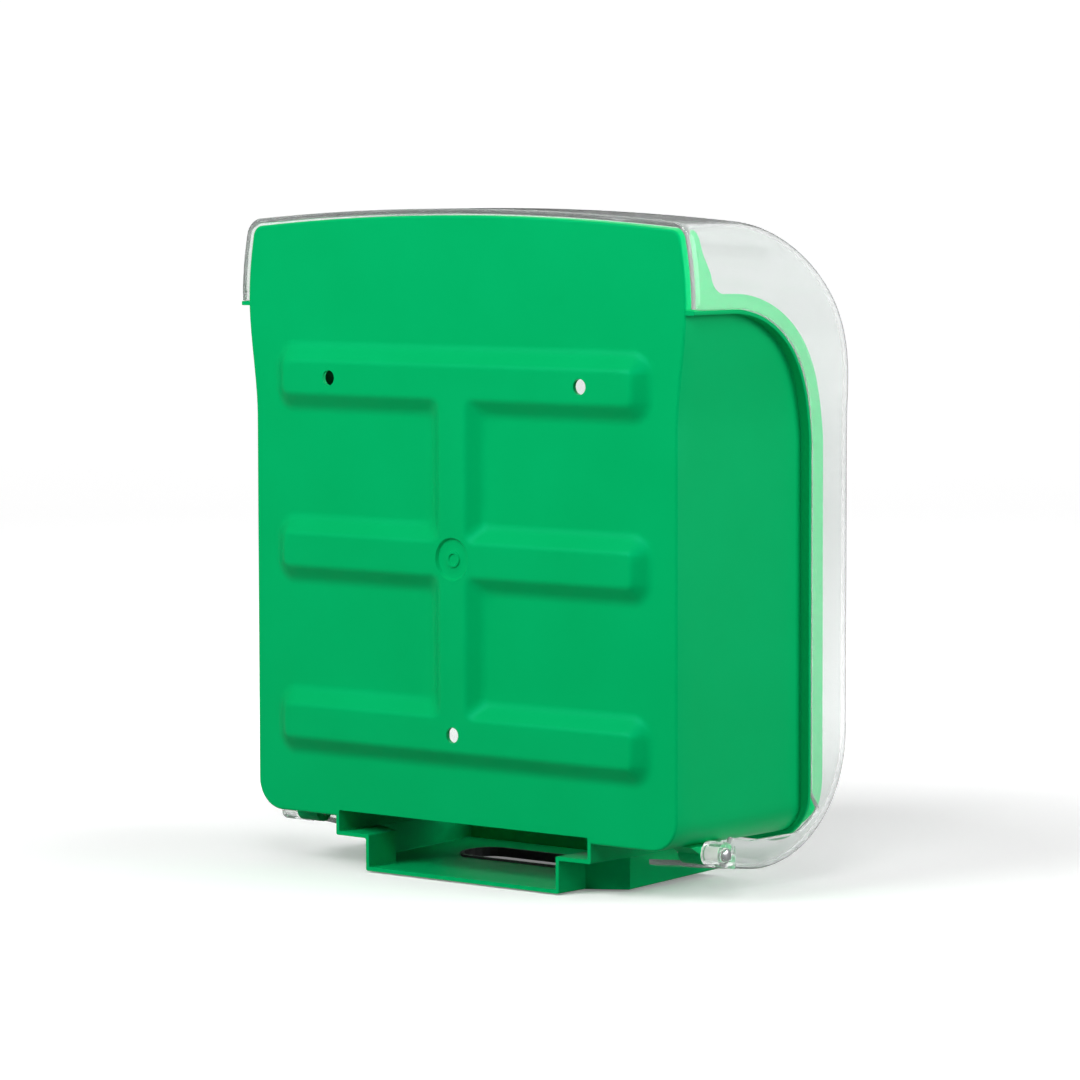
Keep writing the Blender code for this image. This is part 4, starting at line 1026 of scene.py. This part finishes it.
def hinge_bush(name, side, centre):
    """Nylon sleeve in the cover's knuckle."""
    start, end = KNUCKLE_INNER + 0.2 * MM, KNUCKLE_OUTER - 0.2 * MM
    profile = [(3.7 * MM, start), (4 * MM, start + 0.3 * MM), (4 * MM, end - 0.3 * MM), (3.7 * MM, end)]
    bush = turned("X", centre, [(r, side * x) for r, x in profile], name="fine_bush_" + name)
    cut(bush, turned("X", centre, [(PIN_BORE, side * 150 * MM), (PIN_BORE, side * 172 * MM)]))
    smooth(bush)
    finish_piece(bush, "cover", "white_nylon", "hinge_bush_" + name)


def pin_clip(name, side, centre):
    """Retaining clip on the pin's inner end, open downwards."""
    profile = [(3.1 * MM, 135.7 * MM), (3.3 * MM, 135.9 * MM), (3.3 * MM, 136.7 * MM),
               (3.1 * MM, 136.9 * MM)]
    clip = turned("X", centre, [(r, side * x) for r, x in profile], name="fine_clip_" + name)
    mouth = box_outline(HINGE_DEPTH - 1.5 * MM, HINGE_DEPTH + 1.5 * MM, HINGE_Z - 9 * MM, HINGE_Z)
    start, end = side * 130 * MM, side * 140 * MM
    cut(clip, turned("X", centre, [(2.2 * MM, start), (2.2 * MM, end)]), prism_x(mouth, start, end))
    smooth(clip)
    finish_piece(clip, "housing", "zinc_steel", "pin_clip_" + name)


def make_hinges():
    centre = (0, -HINGE_DEPTH, HINGE_Z)
    for name, side in SIDES:
        hinge_pin(name, side, centre)
        hinge_bush(name, side, centre)
        pin_clip(name, side, centre)


# --- Lock ---

def lock_body():
    """Lock body with a rounded flange outside the cover."""
    face = LOCK_FRONT
    profile = [(7.6 * MM, LOCK_REAR), (8 * MM, LOCK_REAR + 0.4 * MM), (8 * MM, face), (10.8 * MM, face),
               (11 * MM, face + 0.2 * MM), (11 * MM, face + 1.2 * MM)]
    profile += [(r, face + 1.2 * MM + rise) for r, rise in arc(9.6 * MM, 0, 1.4 * MM, 12, 84, 6)]
    body = turned("Y", LOCK_CENTRE, profile, 72, name="fine_lock_body")
    bore = [(5.8 * MM, LOCK_REAR - 5 * MM), (5.8 * MM, face + 1.9 * MM), (6.4 * MM, face + 3 * MM)]
    cut(body, turned("Y", LOCK_CENTRE, bore, 72))
    smooth(body)
    finish_piece(body, "cover", "lock_chrome", "lock_body")


def lock_plug():
    """Turning plug with a keyway in front, and a square tang for the cam behind."""
    face = LOCK_FRONT
    profile = [(5.1 * MM, LOCK_REAR - 1.2 * MM), (5.5 * MM, LOCK_REAR - 0.8 * MM),
               (5.5 * MM, face + 2.1 * MM), (5.3 * MM, face + 2.45 * MM), (4.9 * MM, face + 2.6 * MM)]
    plug = turned("Y", LOCK_CENTRE, profile, 72, name="fine_lock_plug")
    tang = rounded(box_outline(-3.4 * MM, 3.4 * MM, LOCK_Z - 3.4 * MM, LOCK_Z + 3.4 * MM), 0.5 * MM)
    join(plug, prism_y(tang, CAM_DEPTH + 0.1 * MM, LOCK_REAR))
    keyway = box_outline(-0.9 * MM, 0.9 * MM, LOCK_Z - 3.6 * MM, LOCK_Z + 3.6 * MM)
    cut(plug, prism_y(rounded(keyway, 0.3 * MM), face - 8 * MM, face + 5 * MM),
        turned("Y", LOCK_CENTRE, [(1.8 * MM, CAM_DEPTH - 3 * MM), (1.8 * MM, CAM_DEPTH + 9 * MM)]))
    smooth(plug)
    finish_piece(plug, "lock_barrel", "lock_chrome", "lock_plug")


def lock_washer():
    near, far = LOCK_SEAT - 1.3 * MM, LOCK_SEAT - 0.3 * MM
    profile = [(11.2 * MM, near), (11.4 * MM, near + 0.2 * MM), (11.4 * MM, far - 0.2 * MM),
               (11.2 * MM, far)]
    washer = turned("Y", LOCK_CENTRE, profile, 72, name="fine_washer")
    cut(washer, turned("Y", LOCK_CENTRE, [(LOCK_BORE, 140 * MM), (LOCK_BORE, 175 * MM)]))
    smooth(washer)
    finish_piece(washer, "cover", "zinc_steel", "lock_washer")


def lock_cam():
    """Flat cam with a round end about the lock and a rounded tip, held on the plug's tang."""
    outline = arc(0, LOCK_Z, 6.5 * MM, 90, 270, 32)
    outline += arc(23 * MM, LOCK_Z - 2.5 * MM, 4 * MM, -90, 0, 8)
    outline += arc(23 * MM, LOCK_Z + 2.5 * MM, 4 * MM, 0, 90, 8)
    cam = prism_y(outline, CAM_DEPTH, CAM_DEPTH + 2.5 * MM, name="fine_cam")
    square = box_outline(-3.7 * MM, 3.7 * MM, LOCK_Z - 3.7 * MM, LOCK_Z + 3.7 * MM)
    cut(cam, prism_y(rounded(square, 0.3 * MM), CAM_DEPTH - 2 * MM, CAM_DEPTH + 6 * MM))
    smooth(cam)
    finish_piece(cam, "lock_barrel", "zinc_steel", "lock_cam")


def make_lock():
    lock_body()
    lock_plug()
    lock_washer()
    nut_face = LOCK_SEAT - 1.6 * MM
    nut("lock_nut", "Y", LOCK_CENTRE, nut_face - 4 * MM, nut_face, 11 * MM, LOCK_BORE, "cover")
    lock_cam()
    screw("cam_screw", "Y", LOCK_CENTRE, CAM_DEPTH + 8 * MM, CAM_DEPTH - 0.3 * MM,
          1.5 * MM, 5.2 * MM, 2.3 * MM, "lock_barrel")


# --- Bag magazine ---

def follower_plate(centre):
    """Flat steel plate with round corners that rides on the bags."""
    half_x, half_y = 97 * MM, 42 * MM
    outline = rounded(box_outline(-half_x, half_x, FOLLOWER_DEPTH - half_y, FOLLOWER_DEPTH + half_y),
                      6 * MM, 10)
    top = FOLLOWER_Z + FOLLOWER_THICK
    plate = prism_z(outline, FOLLOWER_Z, top, name="fine_follower_plate")
    cut(plate, turned("Z", centre, [(2.4 * MM, FOLLOWER_Z - 3 * MM), (2.4 * MM, top + 4 * MM)]))
    smooth(plate)
    round_edges(plate, 0.5 * MM)
    finish_piece(plate, "follower", "zinc_steel", "follower_plate")


def follower_grip(centre):
    """Turned knob with a waist, on a stem through the plate."""
    base = FOLLOWER_Z + FOLLOWER_THICK + 0.3 * MM
    stem = 2 * MM
    outline = ((6.6, 0), (7, 0.4), (6.4, 1.8), (6, 3.2), (6, 5.6), (6.6, 7), (8.4, 8.4), (9.6, 9.4),
               (10, 10.6), (9.7, 12), (8.6, 13), (6, 13.4))
    profile = [(stem, FOLLOWER_Z + 0.4 * MM), (stem, base)]
    profile += [(radius * MM, base + rise * MM) for radius, rise in outline]
    profile += [(stem, base + 13.5 * MM)]
    grip = turned("Z", centre, profile, 64, name="fine_follower_grip")
    smooth(grip)
    finish_piece(grip, "follower", "dark_plastic", "follower_grip")


def make_follower():
    centre = (0, -FOLLOWER_DEPTH, 0)
    follower_plate(centre)
    follower_grip(centre)


def round_edges(obj, width, segments=3):
    """Bevel a piece's sharp edges, inwards, so that they catch the light."""
    mod = obj.modifiers.new("edges", "BEVEL")
    mod.width = width
    mod.segments = segments
    mod.limit_method = "ANGLE"
    mod.angle_limit = math.radians(40)
    mod.harden_normals = True


def dress_sheet_parts():
    """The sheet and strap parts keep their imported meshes, with their edges eased."""
    for node in ("bag_guide_left", "bag_guide_right", "bag_shelf", "retainer_bar", "outlet_bezel"):
        round_edges(NODES[node], 0.3 * MM, 2)


# --- Stage ---

def add_floor():
    """Pale sweep: a floor that curves up into a backdrop behind the unit, with a painted shadow where its glow is
    dimmed round the unit's base.
    """
    bm = bmesh.new()
    turn = math.radians(VIEW_TURN)
    ahead = Vector((math.sin(turn), -math.cos(turn), 0))
    right = Vector((-math.cos(turn), -math.sin(turn), 0))
    profile = [(FLOOR_NEAR, 0.0), (FLOOR_FAR, 0.0)]
    profile += arc(FLOOR_FAR, FLOOR_CURVE, FLOOR_CURVE, -84, 0, 14)
    profile += [(FLOOR_FAR + FLOOR_CURVE, BACKDROP_TOP)]
    lines = []
    for u in (-FLOOR_HALF, FLOOR_HALF):
        lines.append([bm.verts.new(ahead * s + right * u + Vector((0, 0, FLOOR_Z + h))) for s, h in profile])
    for k in range(len(profile) - 1):
        bm.faces.new((lines[0][k], lines[0][k + 1], lines[1][k + 1], lines[1][k]))
    mat, tree, shader = principled("floor_paint", (0.9, 0.9, 0.9), 0.8)
    surface(tree, shader, ((0.895, 0.895, 0.895), (0.905, 0.905, 0.905)), (0.75, 0.85), 3.0, 6.0)
    shader.inputs["Specular IOR Level"].default_value = 0.1
    # painted shadow: the floor's own glow is dimmed close to the unit, which darkens the floor round its base
    floor_glow_and_painted_shadow = ramp(tree, distance_fade(tree, (0, -0.1, FLOOR_Z), PAINTED_SHADOW_REACH), FLOOR_GLOW, NEAR_GLOW_PAINTED_SHADOW, 0.72, 0.9)
    tree.links.new(floor_glow_and_painted_shadow, shader.inputs["Emission Color"])
    shader.inputs["Emission Strength"].default_value = 1.0
    dim_for_bounces(tree, shader)
    floor = to_object("floor", bm)
    floor.data.materials.append(mat)
    floor.data.shade_smooth()


def dim_for_bounces(tree, shader):
    """Let the floor look white but light the unit only a little, as a dark studio floor would."""
    path = tree.nodes.new("ShaderNodeLightPath").outputs
    mirrored = math_node(tree, "SUBTRACT", path["Is Glossy Ray"], path["Is Transmission Ray"])
    bounced = math_node(tree, "MAXIMUM", path["Is Diffuse Ray"], mirrored)
    dim = tree.nodes.new("ShaderNodeBsdfDiffuse")
    dim.inputs["Color"].default_value = (FLOOR_BOUNCE, FLOOR_BOUNCE, FLOOR_BOUNCE, 1.0)
    switch(tree, bounced, shader.outputs["BSDF"], dim.outputs["BSDF"], "Material Output")


def distance_fade(tree, centre, reach):
    """1 at a centre, falling evenly to 0 at the reach."""
    coords = tree.nodes.new("ShaderNodeTexCoord")
    mapping = tree.nodes.new("ShaderNodeMapping")
    mapping.inputs["Scale"].default_value = [1 / reach] * 3
    mapping.inputs["Location"].default_value = [-value / reach for value in centre]
    fade = tree.nodes.new("ShaderNodeTexGradient")
    fade.gradient_type = "SPHERICAL"
    tree.links.new(coords.outputs["Object"], mapping.inputs["Vector"])
    tree.links.new(mapping.outputs["Vector"], fade.inputs["Vector"])
    return fade.outputs["Fac"]


def add_light(name, place, size, power):
    """Square soft light at a place, aimed at the unit's middle."""
    data = bpy.data.lights.new(name, "AREA")
    data.shape = "SQUARE"
    data.size = size
    data.energy = power
    light = bpy.data.objects.new(name, data)
    bpy.context.scene.collection.objects.link(light)
    light.location = place
    aim = Vector(LIGHT_AIM) - Vector(place)
    light.rotation_euler = aim.to_track_quat("-Z", "Y").to_euler()


def background(tree, strength):
    node = tree.nodes.new("ShaderNodeBackground")
    node.inputs["Color"].default_value = (1, 1, 1, 1)
    node.inputs["Strength"].default_value = strength
    return node.outputs["Background"]


def add_world():
    """White where it is seen, straight or through the clear cover, and a weak light otherwise."""
    world = bpy.data.worlds.new("studio")
    world.use_nodes = True
    tree = world.node_tree
    path = tree.nodes.new("ShaderNodeLightPath").outputs
    seen = math_node(tree, "MAXIMUM", path["Is Camera Ray"], path["Is Transmission Ray"])
    switch(tree, seen, background(tree, WORLD_LIGHT), background(tree, 1.0), "World Output")
    bpy.context.scene.world = world
    bpy.context.scene.view_settings.view_transform = "Standard"


def add_lights():
    add_light("key", (0.6, 1.75, 1.05), 1.1, 38)
    add_light("upper_right", (-0.7, 0.9, 0.8), 0.5, 6)
    add_light("side_fill", (-2.0, -0.9, 0.6), 1.3, 34)
    add_light("overhead", (0.0, -0.3, 2.4), 2.0, 16)


# --- Build ---

MATERIALS = {"moulded_green": moulded_green(), "clear_cover": clear_plastic(),
             "dark_plastic": dark_plastic(), "zinc_steel": zinc_steel(),
             "lock_chrome": lock_chrome(), "white_nylon": white_nylon()}

add_camera()
add_floor()
add_world()
add_lights()
for entry in frame["record"]["subparts"]:
    node = NODES[entry["node"]]
    node.data.materials.clear()
    node.data.materials.append(MATERIALS[entry["material_slot"]])
make_housing()
make_cover()
make_hinges()
make_screws()
make_lock()
make_follower()
dress_sheet_parts()
